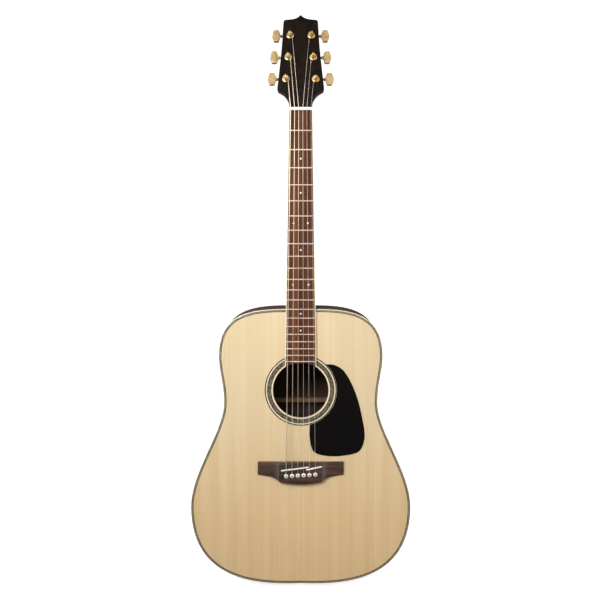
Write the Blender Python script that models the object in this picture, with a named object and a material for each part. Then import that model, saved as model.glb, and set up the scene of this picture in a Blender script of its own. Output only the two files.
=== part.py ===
"""A steel-string acoustic guitar with a square-shouldered body, built piece by piece, in metres.

Frame: +Z runs up the neck, the soundboard faces -Y and +X is the treble side. The origin is the
centre of the strap button's flat outer face, at the very bottom of the instrument.
"""

import math

import bmesh
import bpy
from mathutils import Matrix, Vector

GAP = 0.0003  # clearance between pieces that are glued or pressed together
PAST = 0.01  # how far a cutting tool passes the surface it opens

# Body: its edge is drawn by four curves a side, between these (half width, height) points.
BODY_BOTTOM = 0.014
BODY_LENGTH = 0.512
BODY_TOP = BODY_BOTTOM + BODY_LENGTH
LOWER_BOUT = (0.2034, BODY_BOTTOM + 0.1445)
WAIST = (0.1413, BODY_BOTTOM + 0.3409)
UPPER_BOUT = (0.1503, BODY_BOTTOM + 0.4246)
TAIL_HANDLE = 0.0482
LOWER_BOUT_HANDLES = (0.1572, 0.0667)
WAIST_HANDLES = (0.0548, 0.0351)
UPPER_BOUT_HANDLES = (0.0252, 0.0921)
NECK_HANDLE = 0.0716
OUTLINE_STEPS = 12  # points on each of the four curves
HOLE_SIDES = 56

TOP_FACE = -0.060  # outer face of the soundboard
BACK_AT_TAIL = 0.060
BACK_AT_NECK = 0.040
PLATE = 0.0028
SIDE = 0.0023
BINDING_WIDTH = 0.0022
BINDING_DEPTH = 0.006
LINING_WIDTH = 0.006
LINING_GAP = 0.0012  # the linings follow the sides in fewer, straighter steps
LINING_DEPTH = 0.014
INSIDE_FRONT = TOP_FACE + PLATE + GAP
INSIDE_EDGE = SIDE + LINING_WIDTH + 2 * LINING_GAP  # how far in the linings reach

# Scale and neck
SCALE_LENGTH = 0.644
FRETS = 21
BODY_FRET = 14
NUT_Z = BODY_TOP + SCALE_LENGTH * (1 - 2 ** (-BODY_FRET / 12))
NUT_WIDTH = 0.043
NUT_THICKNESS = 0.005
NUT_TOP_Y = -0.0678
BOARD_END_WIDTH = 0.057  # over the last fret
BOARD_THICKNESS = 0.0064
BOARD_FACE = TOP_FACE - GAP - BOARD_THICKNESS
BOARD_BINDING = 0.0016
BOARD_TOP = NUT_Z - GAP
FRET_WIDTH = 0.0022
FRET_HEIGHT = 0.001
NECK_DEPTH_NUT = 0.0145
NECK_DEPTH_HEEL = 0.0175
HEEL_DEPTH = 0.096
HEEL_CAP_LENGTH = 0.012
HEEL_CURVE = 0.046
TENON_HALF = 0.009
TENON_FRONT, TENON_BACK = -0.044, 0.020
TENON_LENGTH = 0.012
ROD_RADIUS = 0.0025
ROD_Y = -0.0509
ROD_BOTTOM = NUT_Z - 0.4285

# Soundhole, rosette and what is glued to the soundboard
HOLE_Z = NUT_Z - 0.506
HOLE_RADIUS = 0.051
BOARD_ARC = HOLE_RADIUS + 2 * GAP  # the fretboard's hollow end follows the hole
ROSETTE_INNER = 0.0537
ROSETTE_OUTER = 0.066
ROSETTE_DEPTH = 0.0011
PICKGUARD_THICKNESS = 0.001
PICKGUARD_AROUND = (  # (x, height above the hole's centre) points round its outside
    (0.0465, 0.0474),
    (0.0570, 0.0474),
    (0.0676, 0.0440),
    (0.0798, 0.0343),
    (0.0992, -0.0019),
    (0.1125, -0.0500),
    (0.1172, -0.0889),
    (0.1085, -0.1122),
    (0.0950, -0.1187),
    (0.0504, -0.1224),
    (0.0240, -0.1139),
    (0.0165, -0.0889),
    (0.0164, -0.0643),
)
BRIDGE_TOP_Z = NUT_Z - 0.6382
BRIDGE_HALF = 0.079
BRIDGE_FLAT_HALF = 0.0398
BRIDGE_HEIGHT = 0.009
BRIDGE_TIP_HEIGHT = 0.0036
BRIDGE_SCOOP = 6  # how steeply the scoop starts, as a power
BRIDGE_EASE = 0.0012  # size of the chamfer on its long edges
BRIDGE_FACE = TOP_FACE - GAP - BRIDGE_HEIGHT
BELLY_HALF = 0.037
BELLY_SAG = 0.0038
BRIDGE_WING = (  # (x, height) points of the lower edge, from the belly to the tip
    (BELLY_HALF, NUT_Z - 0.6760),
    (0.044, NUT_Z - 0.6712),
    (0.052, NUT_Z - 0.6674),
    (0.0645, NUT_Z - 0.6647),
    (BRIDGE_HALF, NUT_Z - 0.6623),
)

# Strings, from the low E on the bass side to the high E
STRING_RADII = (0.00068, 0.00053, 0.00041, 0.00031, 0.00021, 0.00016)
NUT_SPREAD = 0.0362
SADDLE_SPREAD = 0.0534
STRING_AT_NUT = -0.0681  # underside of the strings over the nut
STRING_RISE = 0.0059  # the strings' slope away from the fretboard, per metre of run, in metres
SADDLE_THICKNESS = 0.0028
SADDLE_SEAT = -0.0655
BASS_SADDLE = ((-0.0362, NUT_Z - 0.6536), (0.0142, NUT_Z - 0.6471))
TREBLE_SADDLE = ((0.010, NUT_Z - 0.6520), (0.0382, NUT_Z - 0.6459))
PIN_ROW = (NUT_Z - 0.6635, NUT_Z - 0.6604)  # heights of the first and the last pin
PIN_HEAD_RADIUS = 0.00385
PIN_SHANK_RADIUS = 0.0025
PIN_LENGTH = 0.021
COIL_START = -0.0052  # where the winding begins on the post, in front of the headstock's face
COIL_TURNS = 2.5

# Headstock, in its own plane: z runs up the headstock from the nut and y runs back through it.
HEAD_TILT = math.radians(14)
HEAD_ORIGIN = Vector((0, -0.0635, NUT_Z + NUT_THICKNESS))
HEAD_START = 0.001
HEADPLATE = 0.002
HEAD_BACK = 0.0143
THROAT_HALF = 0.0209
THROAT = ((THROAT_HALF, HEAD_START), (0.0217, 0.0098), (0.0254, 0.0185), (0.0305, 0.0254), (0.0412, 0.0327))
FLANK = ((0.0422, 0.0360), (0.0382, 0.0750), (0.0343, 0.1170), (0.0318, 0.1600), (0.0312, 0.1665))
CREST = ((0.0290, 0.1689), (0.0129, 0.1709), (0.0047, 0.1745), (0.0, 0.1790))
POSTS = ((0.0267, 0.0544), (0.0226, 0.0966), (0.0192, 0.1388))  # (distance from the middle, height)
BUSHING_RADIUS = 0.005
FLANGE_RADIUS = 0.00675
FLANGE_THICKNESS = 0.002
POST_RADIUS = 0.003
POST_CLEARANCE = 0.0004
POST_TIP = -0.0125
GEAR_RADIUS = 0.0052
GEAR_HALF = 0.0022  # half the gear's thickness
WORM_OFFSET = 0.0075  # height of the knob's shaft above the post's axis
SHAFT_RADIUS = 0.0019
SHAFT_Y = 0.0193
WORM_END = -0.0058
HOUSING_FRONT = HEAD_BACK + GAP
HOUSING_BACK = 0.0243
HOUSING_WALL = 0.0012
KNOB_REACH = 0.0257
KNOB_SIZE = (0.0148, 0.0078, 0.0235)

# Inside the body
X_CENTRE = NUT_Z - 0.590
X_ANGLE = math.radians(47.6)
X_UP, X_DOWN = 0.181, 0.247
BRACE_WIDTH = 0.008
BRACE_HEIGHT = 0.015
BRACE_TIP = 0.005
BRACE_TAPER = 0.05  # length of each tapered end
BRACE_END_GAP = 0.001
FACE_BRACE_Z = NUT_Z - 0.437
FACE_BRACE_HALF = 0.006
BACK_BRACES = (NUT_Z - 0.455, NUT_Z - 0.541, NUT_Z - 0.690)
BACK_BRACE_HALF = 0.004
BRIDGE_PLATE = ((0.080, NUT_Z - 0.678), (0.080, NUT_Z - 0.670), (0.049, NUT_Z - 0.642))
BRIDGE_PLATE_THICKNESS = 0.0025
NECK_BLOCK_HALF = 0.045
NECK_BLOCK_END = NUT_Z - 0.422
TAIL_BLOCK_HALF = 0.040
TAIL_BLOCK_END = BODY_BOTTOM + 0.022

# Strap button
BUTTON_RADIUS = 0.0075
BUTTON_FOOT = 0.0065
BUTTON_WAIST = 0.0045
BUTTON_SHANK = 0.004
BUTTON_END = BODY_BOTTOM + 0.034

# Finishes, as (name, colour, roughness, metallic)
SPRUCE = ("spruce", (0.72, 0.52, 0.29), 0.35, 0.0)
ROSEWOOD = ("rosewood", (0.10, 0.045, 0.028), 0.35, 0.0)
FINGERBOARD = ("fingerboard_rosewood", (0.17, 0.07, 0.042), 0.5, 0.0)
MAHOGANY = ("mahogany", (0.24, 0.09, 0.04), 0.35, 0.0)
IVORY = ("ivory_plastic", (0.86, 0.80, 0.66), 0.3, 0.0)
BONE = ("bone", (0.90, 0.87, 0.80), 0.4, 0.0)
BLACK_PLASTIC = ("black_plastic", (0.01, 0.01, 0.012), 0.12, 0.0)
SHELL = ("shell_mosaic", (0.18, 0.14, 0.09), 0.3, 0.0)
GOLD = ("gold_plate", (0.83, 0.60, 0.25), 0.22, 1.0)
AMBER = ("amber_pearl", (0.68, 0.49, 0.22), 0.2, 0.0)
STEEL = ("string_steel", (0.66, 0.63, 0.60), 0.25, 1.0)
BRONZE = ("string_bronze", (0.70, 0.52, 0.36), 0.3, 1.0)


# Materials, objects and Booleans


def material(finish):
    name, colour, roughness, metallic = finish
    found = bpy.data.materials.get(name)
    if found:
        return found
    made = bpy.data.materials.new(name)
    made.use_nodes = True
    shader = made.node_tree.nodes["Principled BSDF"]
    shader.inputs["Base Color"].default_value = (*colour, 1.0)
    shader.inputs["Roughness"].default_value = roughness
    shader.inputs["Metallic"].default_value = metallic
    made.diffuse_color = (*colour, 1.0)
    return made


def as_object(name, bm, finish=None, smooth_angle=None):
    """Turns a bmesh into an object with its faces pointing out."""
    bmesh.ops.recalc_face_normals(bm, faces=bm.faces)
    mesh = bpy.data.meshes.new(name)
    bm.to_mesh(mesh)
    bm.free()
    if smooth_angle:
        mesh.shade_smooth()
        mesh.set_sharp_from_angle(angle=math.radians(smooth_angle))
    made = bpy.data.objects.new(name, mesh)
    bpy.context.scene.collection.objects.link(made)
    if finish:
        mesh.materials.append(material(finish))
    return made


def as_tool(name, bm):
    tool = as_object(name, bm)
    tool.hide_render = True
    tool.display_type = "WIRE"
    return tool


def boolean(target, tool, operation):
    modifier = target.modifiers.new(tool.name, "BOOLEAN")
    modifier.operation = operation
    modifier.solver = "EXACT"
    modifier.object = tool


def cut(target, tool):
    boolean(target, tool, "DIFFERENCE")


def join(target, tool):
    boolean(target, tool, "UNION")


# Plane curves, as lists of (x, z) points


def curve_point(ends, t):
    """Point and direction on the cubic curve with these four control points."""
    a, b, c, d = ends
    s = 1 - t
    point = a * s**3 + b * (3 * s * s * t) + c * (3 * s * t * t) + d * t**3
    slope = (b - a) * (s * s) + (c - b) * (2 * s * t) + (d - c) * (t * t)
    return point, slope.normalized()


def half_outline(inset=0.0):
    """The body's edge on the treble side, from tail to neck, moved in by inset."""
    across, up = Vector((1, 0)), Vector((0, 1))
    tail, top = Vector((0, BODY_BOTTOM)), Vector((0, BODY_TOP))
    lower, waist, upper = Vector(LOWER_BOUT), Vector(WAIST), Vector(UPPER_BOUT)
    curves = (
        (tail, tail + across * TAIL_HANDLE, lower - up * LOWER_BOUT_HANDLES[0], lower),
        (lower, lower + up * LOWER_BOUT_HANDLES[1], waist - up * WAIST_HANDLES[0], waist),
        (waist, waist + up * WAIST_HANDLES[1], upper - up * UPPER_BOUT_HANDLES[0], upper),
        (upper, upper + up * UPPER_BOUT_HANDLES[1], top + across * NECK_HANDLE, top),
    )
    points = []
    for ends in curves:
        for step in range(OUTLINE_STEPS):
            points.append(curve_point(ends, step / OUTLINE_STEPS))
    points.append(curve_point(curves[-1], 1.0))
    return [(p.x - slope.y * inset, p.y + slope.x * inset) for p, slope in points]


def outline(inset=0.0):
    """The whole edge of the body, moved in by inset, starting at the tail."""
    half = half_outline(inset)
    return half + [(-x, z) for x, z in reversed(half[1:-1])]


def half_width(z, inset):
    """Distance from the middle to the edge at height z, with the edge moved in by inset."""
    half = half_outline(inset)
    for (x0, z0), (x1, z1) in zip(half, half[1:]):
        if z0 <= z < z1:
            return x0 + (x1 - x0) * (z - z0) / (z1 - z0)
    return 0.0


def crossing(half, x, upper):
    """Where a half outline passes this far from the middle, next to the neck or to the tail."""
    pairs = list(zip(half, half[1:]))
    for (x0, z0), (x1, z1) in reversed(pairs) if upper else pairs:
        if x0 != x1 and min(x0, x1) <= x <= max(x0, x1):
            return (x, z0 + (z1 - z0) * (x - x0) / (x1 - x0))
    return None


def stretch_past(half, least):
    """The part of a half outline at least this far from the middle, with ends exactly there."""
    kept = [point for point in half if point[0] > least]
    return [crossing(half, least, False), *kept, crossing(half, least, True)]


def smooth_path(points, steps):
    """A curve through the points, evenly stepped between each two (centripetal Catmull-Rom)."""
    points = [Vector(p) for p in points]
    padded = [points[0] * 2 - points[1], *points, points[-1] * 2 - points[-2]]
    path = []
    for a, b, c, d in zip(padded, padded[1:], padded[2:], padded[3:]):
        gaps = [max((q - p).length, 1e-9) ** 0.5 for p, q in ((a, b), (b, c), (c, d))]
        first = (b - a) / gaps[0] - (c - a) / (gaps[0] + gaps[1]) + (c - b) / gaps[1]
        last = (c - b) / gaps[1] - (d - b) / (gaps[1] + gaps[2]) + (d - c) / gaps[2]
        ends = (b, b + first * gaps[1] / 3, c - last * gaps[1] / 3, c)
        path += [tuple(curve_point(ends, step / steps)[0]) for step in range(steps)]
    return [*path, tuple(points[-1])]


def mirrored(half):
    """A closed loop from the points of its right half, whose last point may be on the middle."""
    other = [(-x, z) for x, z in reversed(half) if x > 1e-6]
    return half + other


def hole_circle(radius):
    """A circle about the soundhole's centre."""
    turn = 2 * math.pi / HOLE_SIDES
    angles = [turn * i for i in range(HOLE_SIDES)]
    return [(radius * math.cos(a), HOLE_Z + radius * math.sin(a)) for a in angles]


def rectangle(x0, x1, z0, z1):
    return [(x0, z0), (x1, z0), (x1, z1), (x0, z1)]


# Solids, as bmeshes


def flat(y):
    return lambda z: y


def back_face(z):
    """The back's outer face: a plane that rises from the tail to the neck."""
    return BACK_AT_TAIL + (BACK_AT_NECK - BACK_AT_TAIL) * (z - BODY_BOTTOM) / BODY_LENGTH


def behind(depth):
    """The plane this far inside the back's outer face."""
    return lambda z: back_face(z) - depth


def prism(points, front, back):
    """A plate of this outline between two planes, each a height y as a function of z."""
    bm = bmesh.new()
    add_prism(bm, points, front, back)
    return bm


def add_prism(bm, points, front, back):
    face = bm.faces.new([bm.verts.new((x, front(z), z)) for x, z in points])
    made = bmesh.ops.extrude_face_region(bm, geom=[face])["geom"]
    for vert in (v for v in made if isinstance(v, bmesh.types.BMVert)):
        vert.co.y = back(vert.co.z)


def hoop(outer, inner, front, back):
    """A closed band between two loops with the same number of points."""
    bm = bmesh.new()
    loops = []
    for points in (outer, inner):
        verts = [bm.verts.new((x, front(z), z)) for x, z in points]
        loops.append([bm.edges.new(pair) for pair in zip(verts, verts[1:] + verts[:1])])
    faces = bmesh.ops.bridge_loops(bm, edges=loops[0] + loops[1])["faces"]
    made = bmesh.ops.extrude_face_region(bm, geom=faces)["geom"]
    for vert in (v for v in made if isinstance(v, bmesh.types.BMVert)):
        vert.co.y = back(vert.co.z)
    return bm


def loft(sections):
    """A solid through sections with the same number of points, with flat ends."""
    bm = bmesh.new()
    rings = [[bm.verts.new(point) for point in section] for section in sections]
    for ring, following in zip(rings, rings[1:]):
        for i in range(len(ring)):
            j = (i + 1) % len(ring)
            bm.faces.new((ring[i], ring[j], following[j], following[i]))
    bm.faces.new(rings[0])
    bm.faces.new(rings[-1])
    return bm


def turned(profile, sides, axis=(0, 0, 1)):
    """A round solid: the (radius, height) profile spun about the axis through the origin."""
    bm = bmesh.new()
    verts = [bm.verts.new((radius, 0, height)) for radius, height in profile]
    edges = [bm.edges.new(pair) for pair in zip(verts, verts[1:])]
    around = {"cent": (0, 0, 0), "axis": (0, 0, 1), "angle": 2 * math.pi}
    bmesh.ops.spin(bm, geom=verts + edges, steps=sides, use_merge=True, **around)
    bmesh.ops.remove_doubles(bm, verts=bm.verts, dist=1e-6)
    turn = Vector((0, 0, 1)).rotation_difference(Vector(axis)).to_matrix().to_4x4()
    bmesh.ops.transform(bm, matrix=turn, verts=bm.verts)
    return bm


def rod(radius, start, end, sides, axis=(0, 0, 1)):
    return turned(((0, start), (radius, start), (radius, end), (0, end)), sides, axis)


def moved(bm, place):
    bmesh.ops.translate(bm, vec=Vector(place), verts=bm.verts)
    return bm


def merged(*parts):
    """One bmesh that holds several closed shapes."""
    whole = bmesh.new()
    for part in parts:
        mesh = bpy.data.meshes.new("part")
        part.to_mesh(mesh)
        part.free()
        whole.from_mesh(mesh)
        bpy.data.meshes.remove(mesh)
    return whole


# Body shell


def pin_places():
    """The six bridge pins, as (x, z)."""
    first, last = PIN_ROW
    share = [i / 5 for i in range(6)]
    return [((s - 0.5) * SADDLE_SPREAD, first + (last - first) * s) for s in share]


def pin_holes():
    """Six rods that pass through the bridge, the soundboard and the bridge plate."""
    radius, front, back = PIN_SHANK_RADIUS + GAP, BRIDGE_FACE - PAST, TOP_FACE + 2 * PAST
    rods = [moved(rod(radius, front, back, 12, (0, 1, 0)), (x, 0, z)) for x, z in pin_places()]
    return merged(*rods)


def make_soundboard(holes):
    edge = outline(BINDING_WIDTH + GAP)
    board = as_object("soundboard", prism(edge, flat(TOP_FACE), flat(INSIDE_FRONT - GAP)), SPRUCE)
    hole = prism(hole_circle(HOLE_RADIUS), flat(TOP_FACE - PAST), flat(TOP_FACE + PAST))
    rings = hole_circle(ROSETTE_OUTER + GAP), hole_circle(ROSETTE_INNER - GAP)
    channel = hoop(*rings, flat(TOP_FACE - PAST), flat(TOP_FACE + ROSETTE_DEPTH + GAP))
    cut(board, as_tool("soundhole_and_channel", merged(hole, channel)))
    cut(board, holes)


def make_back_plate():
    edge = outline(BINDING_WIDTH + GAP)
    as_object("back_plate", prism(edge, behind(PLATE), behind(0.0)), ROSEWOOD)


def make_sides(button_hole, neck_slot):
    outer = stretch_past(half_outline(), GAP / 2)
    inner = stretch_past(half_outline(SIDE), GAP / 2)
    front, back = flat(TOP_FACE + BINDING_DEPTH + GAP), behind(BINDING_DEPTH + GAP)
    for name, sign in (("side_bass", -1), ("side_treble", 1)):
        sections = []
        for (x0, z0), (x1, z1) in zip(outer, inner):
            x0, x1 = sign * x0, sign * x1
            corners = ((x0, front(z0), z0), (x0, back(z0), z0), (x1, back(z1), z1), (x1, front(z1), z1))
            sections.append(corners)
        side = as_object(name, loft(sections), ROSEWOOD, 30)
        cut(side, button_hole)
        cut(side, neck_slot)


def make_bindings():
    loops = outline(), outline(BINDING_WIDTH)
    front = hoop(*loops, flat(TOP_FACE), flat(TOP_FACE + BINDING_DEPTH))
    as_object("binding_front", front, IVORY, 30)
    as_object("binding_back", hoop(*loops, behind(BINDING_DEPTH), behind(0.0)), IVORY, 30)


def make_lining(name, front, back):
    """Runs round the inside of the sides and stops at the neck block."""
    outer, inner = (open_loop(SIDE + LINING_GAP + depth) for depth in (0.0, LINING_WIDTH))
    sections = [
        ((x0, front(z0), z0), (x0, back(z0), z0), (x1, back(z1), z1), (x1, front(z1), z1))
        for (x0, z0), (x1, z1) in zip(outer, inner)
    ]
    as_object(name, loft(sections), MAHOGANY, 30)


def open_loop(inset):
    """The edge moved in by inset, left open across the neck block, from treble round to bass."""
    half = half_outline(inset)
    stop = NECK_BLOCK_HALF + GAP
    tail = [point for point in half[::2] if point[0] > stop or point[1] < WAIST[1]]
    treble = [crossing(half, stop, True), *reversed(tail)]
    return treble + [(-x, z) for x, z in reversed(treble[:-1])]


def make_linings():
    make_lining("lining_front", flat(INSIDE_FRONT), flat(INSIDE_FRONT + LINING_DEPTH))
    inside = PLATE + GAP
    make_lining("lining_back", behind(inside + LINING_DEPTH), behind(inside))


# Inside the body


def block_outline(half, end, upper):
    """A block that fits the inside of the sides across the middle, with its flat face at z = end."""
    edge = half_outline(SIDE + GAP)
    arc = [point for point in edge if point[0] < half and (point[1] > end) == upper]
    arc = arc if upper else arc[::-1]
    return mirrored([(half, end), crossing(edge, half, upper), *arc])


def neck_slots():
    """Room for the tenon and for the truss rod, through the sides and the neck block."""
    half, rod_half = TENON_HALF + GAP, ROD_RADIUS + 2 * GAP
    tenon = rectangle(-half, half, BODY_TOP - TENON_LENGTH - GAP, BODY_TOP + PAST)
    rod_way = rectangle(-rod_half, rod_half, NECK_BLOCK_END - PAST, BODY_TOP + PAST)
    return merged(
        prism(tenon, flat(TENON_FRONT - GAP), flat(TENON_BACK + GAP)),
        prism(rod_way, flat(TOP_FACE - PAST), flat(ROD_Y + rod_half)),
    )


def make_blocks(button_hole, neck_slot):
    front, back = flat(INSIDE_FRONT), behind(PLATE + GAP)
    neck = prism(block_outline(NECK_BLOCK_HALF, NECK_BLOCK_END, True), front, back)
    neck_block = as_object("neck_block", neck, MAHOGANY)
    cut(neck_block, neck_slot)
    tail = prism(block_outline(TAIL_BLOCK_HALF, TAIL_BLOCK_END, False), front, back)
    tail_block = as_object("tail_block", tail, MAHOGANY)
    loops = outline(SIDE - GAP), outline(INSIDE_EDGE)
    edge_front = hoop(*loops, flat(TOP_FACE), flat(INSIDE_FRONT + LINING_DEPTH + GAP))
    edge_back = hoop(*loops, behind(PLATE + LINING_DEPTH + 2 * GAP), behind(0.0))
    cut(tail_block, as_tool("lining_rebates", merged(edge_front, edge_back)))
    cut(tail_block, button_hole)


def beam(reach_down, reach_up):
    """A brace that lies along z with tapered ends, glued by its -Y face at y = 0."""
    side = [
        (-reach_down, 0),
        (reach_up, 0),
        (reach_up, BRACE_TIP),
        (reach_up - BRACE_TAPER, BRACE_HEIGHT),
        (BRACE_TAPER - reach_down, BRACE_HEIGHT),
        (-reach_down, BRACE_TIP),
    ]
    half = BRACE_WIDTH / 2
    return loft([[(x, y, z) for z, y in side] for x in (-half, half)])


def make_x_braces():
    """Two crossed braces under the soundboard, halved into each other where they cross."""
    place = Matrix.Translation((0, INSIDE_FRONT, X_CENTRE))
    middle = BRACE_HEIGHT / 2
    for name, sign, low, high in (
        ("x_brace_bass", 1, middle - GAP / 2, BRACE_HEIGHT + PAST),
        ("x_brace_treble", -1, -PAST, middle + GAP / 2),
    ):
        turn = Matrix.Rotation(sign * X_ANGLE, 4, "Y")
        brace = as_object(name, beam(X_DOWN, X_UP), SPRUCE)
        brace.matrix_world = place @ turn
        half, reach = BRACE_WIDTH / 2 + GAP, 3 * BRACE_WIDTH
        notch = prism(rectangle(-half, half, -reach, reach), flat(low), flat(high))
        tool = as_tool(name + "_halving", notch)
        tool.matrix_world = place @ Matrix.Rotation(-sign * X_ANGLE, 4, "Y")
        cut(brace, tool)


def make_flat_braces():
    inset = INSIDE_EDGE + BRACE_END_GAP
    reach, half = half_width(FACE_BRACE_Z, inset), FACE_BRACE_HALF
    shape = rectangle(-reach, reach, FACE_BRACE_Z - half, FACE_BRACE_Z + half)
    height = INSIDE_FRONT + BRACE_HEIGHT
    as_object("upper_face_brace", prism(shape, flat(INSIDE_FRONT), flat(height)), SPRUCE)
    inside, half = PLATE + GAP, BACK_BRACE_HALF
    for number, z in enumerate(BACK_BRACES, 1):
        reach = min(half_width(z - half, inset), half_width(z + half, inset))
        shape = rectangle(-reach, reach, z - half, z + half)
        brace = prism(shape, behind(inside + BRACE_HEIGHT), behind(inside))
        as_object(f"back_brace_{number}", brace, SPRUCE)


def make_bridge_plate(holes):
    """A hardwood plate between the legs of the X, which the strings' ball ends pull against."""
    back = INSIDE_FRONT + BRIDGE_PLATE_THICKNESS
    shape = prism(mirrored(list(BRIDGE_PLATE)), flat(INSIDE_FRONT), flat(back))
    plate = as_object("bridge_plate", shape, MAHOGANY)
    cut(plate, holes)


# On the soundboard


def make_rosette():
    rings = hole_circle(ROSETTE_OUTER), hole_circle(ROSETTE_INNER)
    ring = hoop(*rings, flat(TOP_FACE), flat(TOP_FACE + ROSETTE_DEPTH))
    as_object("rosette", ring, SHELL, 30)


def pickguard_outline():
    """Round the outside, then back along the rosette."""
    around, radius = PICKGUARD_AROUND, ROSETTE_OUTER + GAP
    start = math.atan2(around[-1][1], around[-1][0])
    end = math.atan2(around[0][1], around[0][0])
    arc = [start + (end - start) * i / 16 for i in range(17)]
    path = smooth_path(around, 3)[1:-1] + [(radius * math.cos(a), radius * math.sin(a)) for a in arc]
    return [(x, HOLE_Z + z) for x, z in path]


def make_pickguard():
    front = TOP_FACE - GAP - PICKGUARD_THICKNESS
    guard = prism(pickguard_outline(), flat(front), flat(TOP_FACE - GAP))
    as_object("pickguard", guard, BLACK_PLASTIC)


def bridge_bottom():
    """(x, z) points of the bridge's lower edge, from the middle to the treble tip."""
    steps, (_, edge) = 6, BRIDGE_WING[0]
    across = [i / steps for i in range(steps)]
    belly = [(BELLY_HALF * u, edge - BELLY_SAG * (1 - u * u)) for u in across]
    return belly + smooth_path(BRIDGE_WING, 3)


def bridge_height(x):
    """Flat in the middle, then scooped down to the tips."""
    past = (x - BRIDGE_FLAT_HALF) / (BRIDGE_HALF - BRIDGE_FLAT_HALF)
    past = min(max(past, 0.0), 1.0)
    return BRIDGE_TIP_HEIGHT + (BRIDGE_HEIGHT - BRIDGE_TIP_HEIGHT) * (1 - past) ** BRIDGE_SCOOP


def bridge_section(x, bottom):
    base = TOP_FACE - GAP
    front = base - bridge_height(abs(x))
    top, ease = BRIDGE_TOP_Z, BRIDGE_EASE
    return (
        (x, base, top),
        (x, front + ease, top),
        (x, front, top - ease),
        (x, front, bottom + ease),
        (x, front + ease, bottom),
        (x, base, bottom),
    )


def saddle_box(ends, grow, front, back):
    """A box along the line between two (x, z) ends, grown on every side but front and back."""
    (x0, z0), (x1, z1) = ends
    length = math.hypot(x1 - x0, z1 - z0)
    turn = Matrix.Rotation(-math.atan2(z1 - z0, x1 - x0), 4, "Y")
    half, reach = SADDLE_THICKNESS / 2 + grow, length / 2 + grow
    bm = prism(rectangle(-reach, reach, -half, half), flat(front), flat(back))
    place = Matrix.Translation(((x0 + x1) / 2, 0, (z0 + z1) / 2))
    bmesh.ops.transform(bm, matrix=place @ turn, verts=bm.verts)
    return bm


def make_bridge(holes):
    right = bridge_bottom()
    stations = [(-x, z) for x, z in reversed(right[1:])] + right
    bridge = as_object("bridge", loft([bridge_section(x, z) for x, z in stations]), ROSEWOOD)
    front, back = BRIDGE_FACE - PAST, SADDLE_SEAT + GAP
    slots = [saddle_box(ends, GAP, front, back) for ends in (BASS_SADDLE, TREBLE_SADDLE)]
    cut(bridge, as_tool("saddle_slots", merged(*slots)))
    cut(bridge, holes)


def string_underside(z):
    """How far out the strings' underside is at height z."""
    return STRING_AT_NUT - STRING_RISE * (NUT_Z - z)


def make_saddles():
    for name, ends in (("saddle_bass", BASS_SADDLE), ("saddle_treble", TREBLE_SADDLE)):
        crest = string_underside(ends[0][1]) + GAP
        as_object(name, saddle_box(ends, 0.0, crest, SADDLE_SEAT), BONE)


def make_bridge_pins():
    shank, head = PIN_SHANK_RADIUS, PIN_HEAD_RADIUS
    profile = [(0, -PIN_LENGTH), (shank * 0.8, -PIN_LENGTH), (shank, -0.006), (shank, GAP)]
    profile += [(head * 0.9, GAP), (head, 0.0013), (head * 0.8, 0.0028), (0, 0.0036)]
    for number, (x, z) in enumerate(pin_places(), 1):
        pin = as_object(f"bridge_pin_{number}", turned(profile, 10, (0, -1, 0)), IVORY, 40)
        pin.location = (x, BRIDGE_FACE, z)


# Neck and fretboard


def fret_z(number):
    return NUT_Z - SCALE_LENGTH * (1 - 2 ** (-number / 12))


def board_width(z):
    """Width of the fretboard with its bindings."""
    return NUT_WIDTH + (BOARD_END_WIDTH - NUT_WIDTH) * (NUT_Z - z) / (NUT_Z - fret_z(FRETS))


def board_edge(inset, z):
    """Distance from the middle, at height z, of a line just inside the fretboard's side."""
    return board_width(z) / 2 - inset


def board_end(inset):
    """Where that line meets the arc over the soundhole, as (x, z)."""
    x = board_edge(inset, HOLE_Z + BOARD_ARC)
    return x, HOLE_Z + math.sqrt(BOARD_ARC**2 - x**2)


def fretboard_outline():
    """A tapered board with a hollow end that follows the soundhole."""
    inset, steps = BOARD_BINDING + GAP, 12
    x, z = board_end(inset)
    angle = math.asin(x / BOARD_ARC)
    hollow = [angle - 2 * angle * i / steps for i in range(1, steps)]
    curve = [(BOARD_ARC * math.sin(a), HOLE_Z + BOARD_ARC * math.cos(a)) for a in hollow]
    start = board_edge(inset, BOARD_TOP)
    return [(start, BOARD_TOP), (x, z), *curve, (-x, z), (-start, BOARD_TOP)]


def fret(z):
    """A fret across the board, sunk into it, with a sloping crown."""
    half = board_width(z) / 2 - BOARD_BINDING - 2 * GAP
    foot, crown = FRET_WIDTH / 2, FRET_WIDTH / 4
    low, top = BOARD_FACE + 0.0012, BOARD_FACE - FRET_HEIGHT
    section = ((low, -foot), (low, foot), (BOARD_FACE - 0.0003, foot), (top, crown))
    section += ((top, -crown), (BOARD_FACE - 0.0003, -foot))
    return loft([[(x, y, z + d) for y, d in section] for x in (-half, half)])


def make_fretboard():
    front, back = flat(BOARD_FACE), flat(TOP_FACE - GAP)
    board = as_object("fretboard", prism(fretboard_outline(), front, back), FINGERBOARD)
    frets = merged(*[fret(fret_z(number)) for number in range(1, FRETS + 1)])
    join(board, as_tool("frets", frets))
    strip = [(board_edge(inset, BOARD_TOP), BOARD_TOP) for inset in (BOARD_BINDING, 0.0)]
    strip += [board_end(0.0), board_end(BOARD_BINDING)]
    for name, sign in (("fretboard_binding_bass", -1), ("fretboard_binding_treble", 1)):
        shape = [(sign * x, z) for x, z in strip]
        as_object(name, prism(shape, front, back), IVORY)


def make_nut():
    half, top = NUT_WIDTH / 2, NUT_TOP_Y
    foot = TOP_FACE - GAP
    section = [(top, 0.0), (top + 0.0006, NUT_THICKNESS), (foot, NUT_THICKNESS), (foot, 0.0)]
    as_object("nut", loft([[(x, y, NUT_Z + d) for y, d in section] for x in (-half, half)]), BONE)


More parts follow.
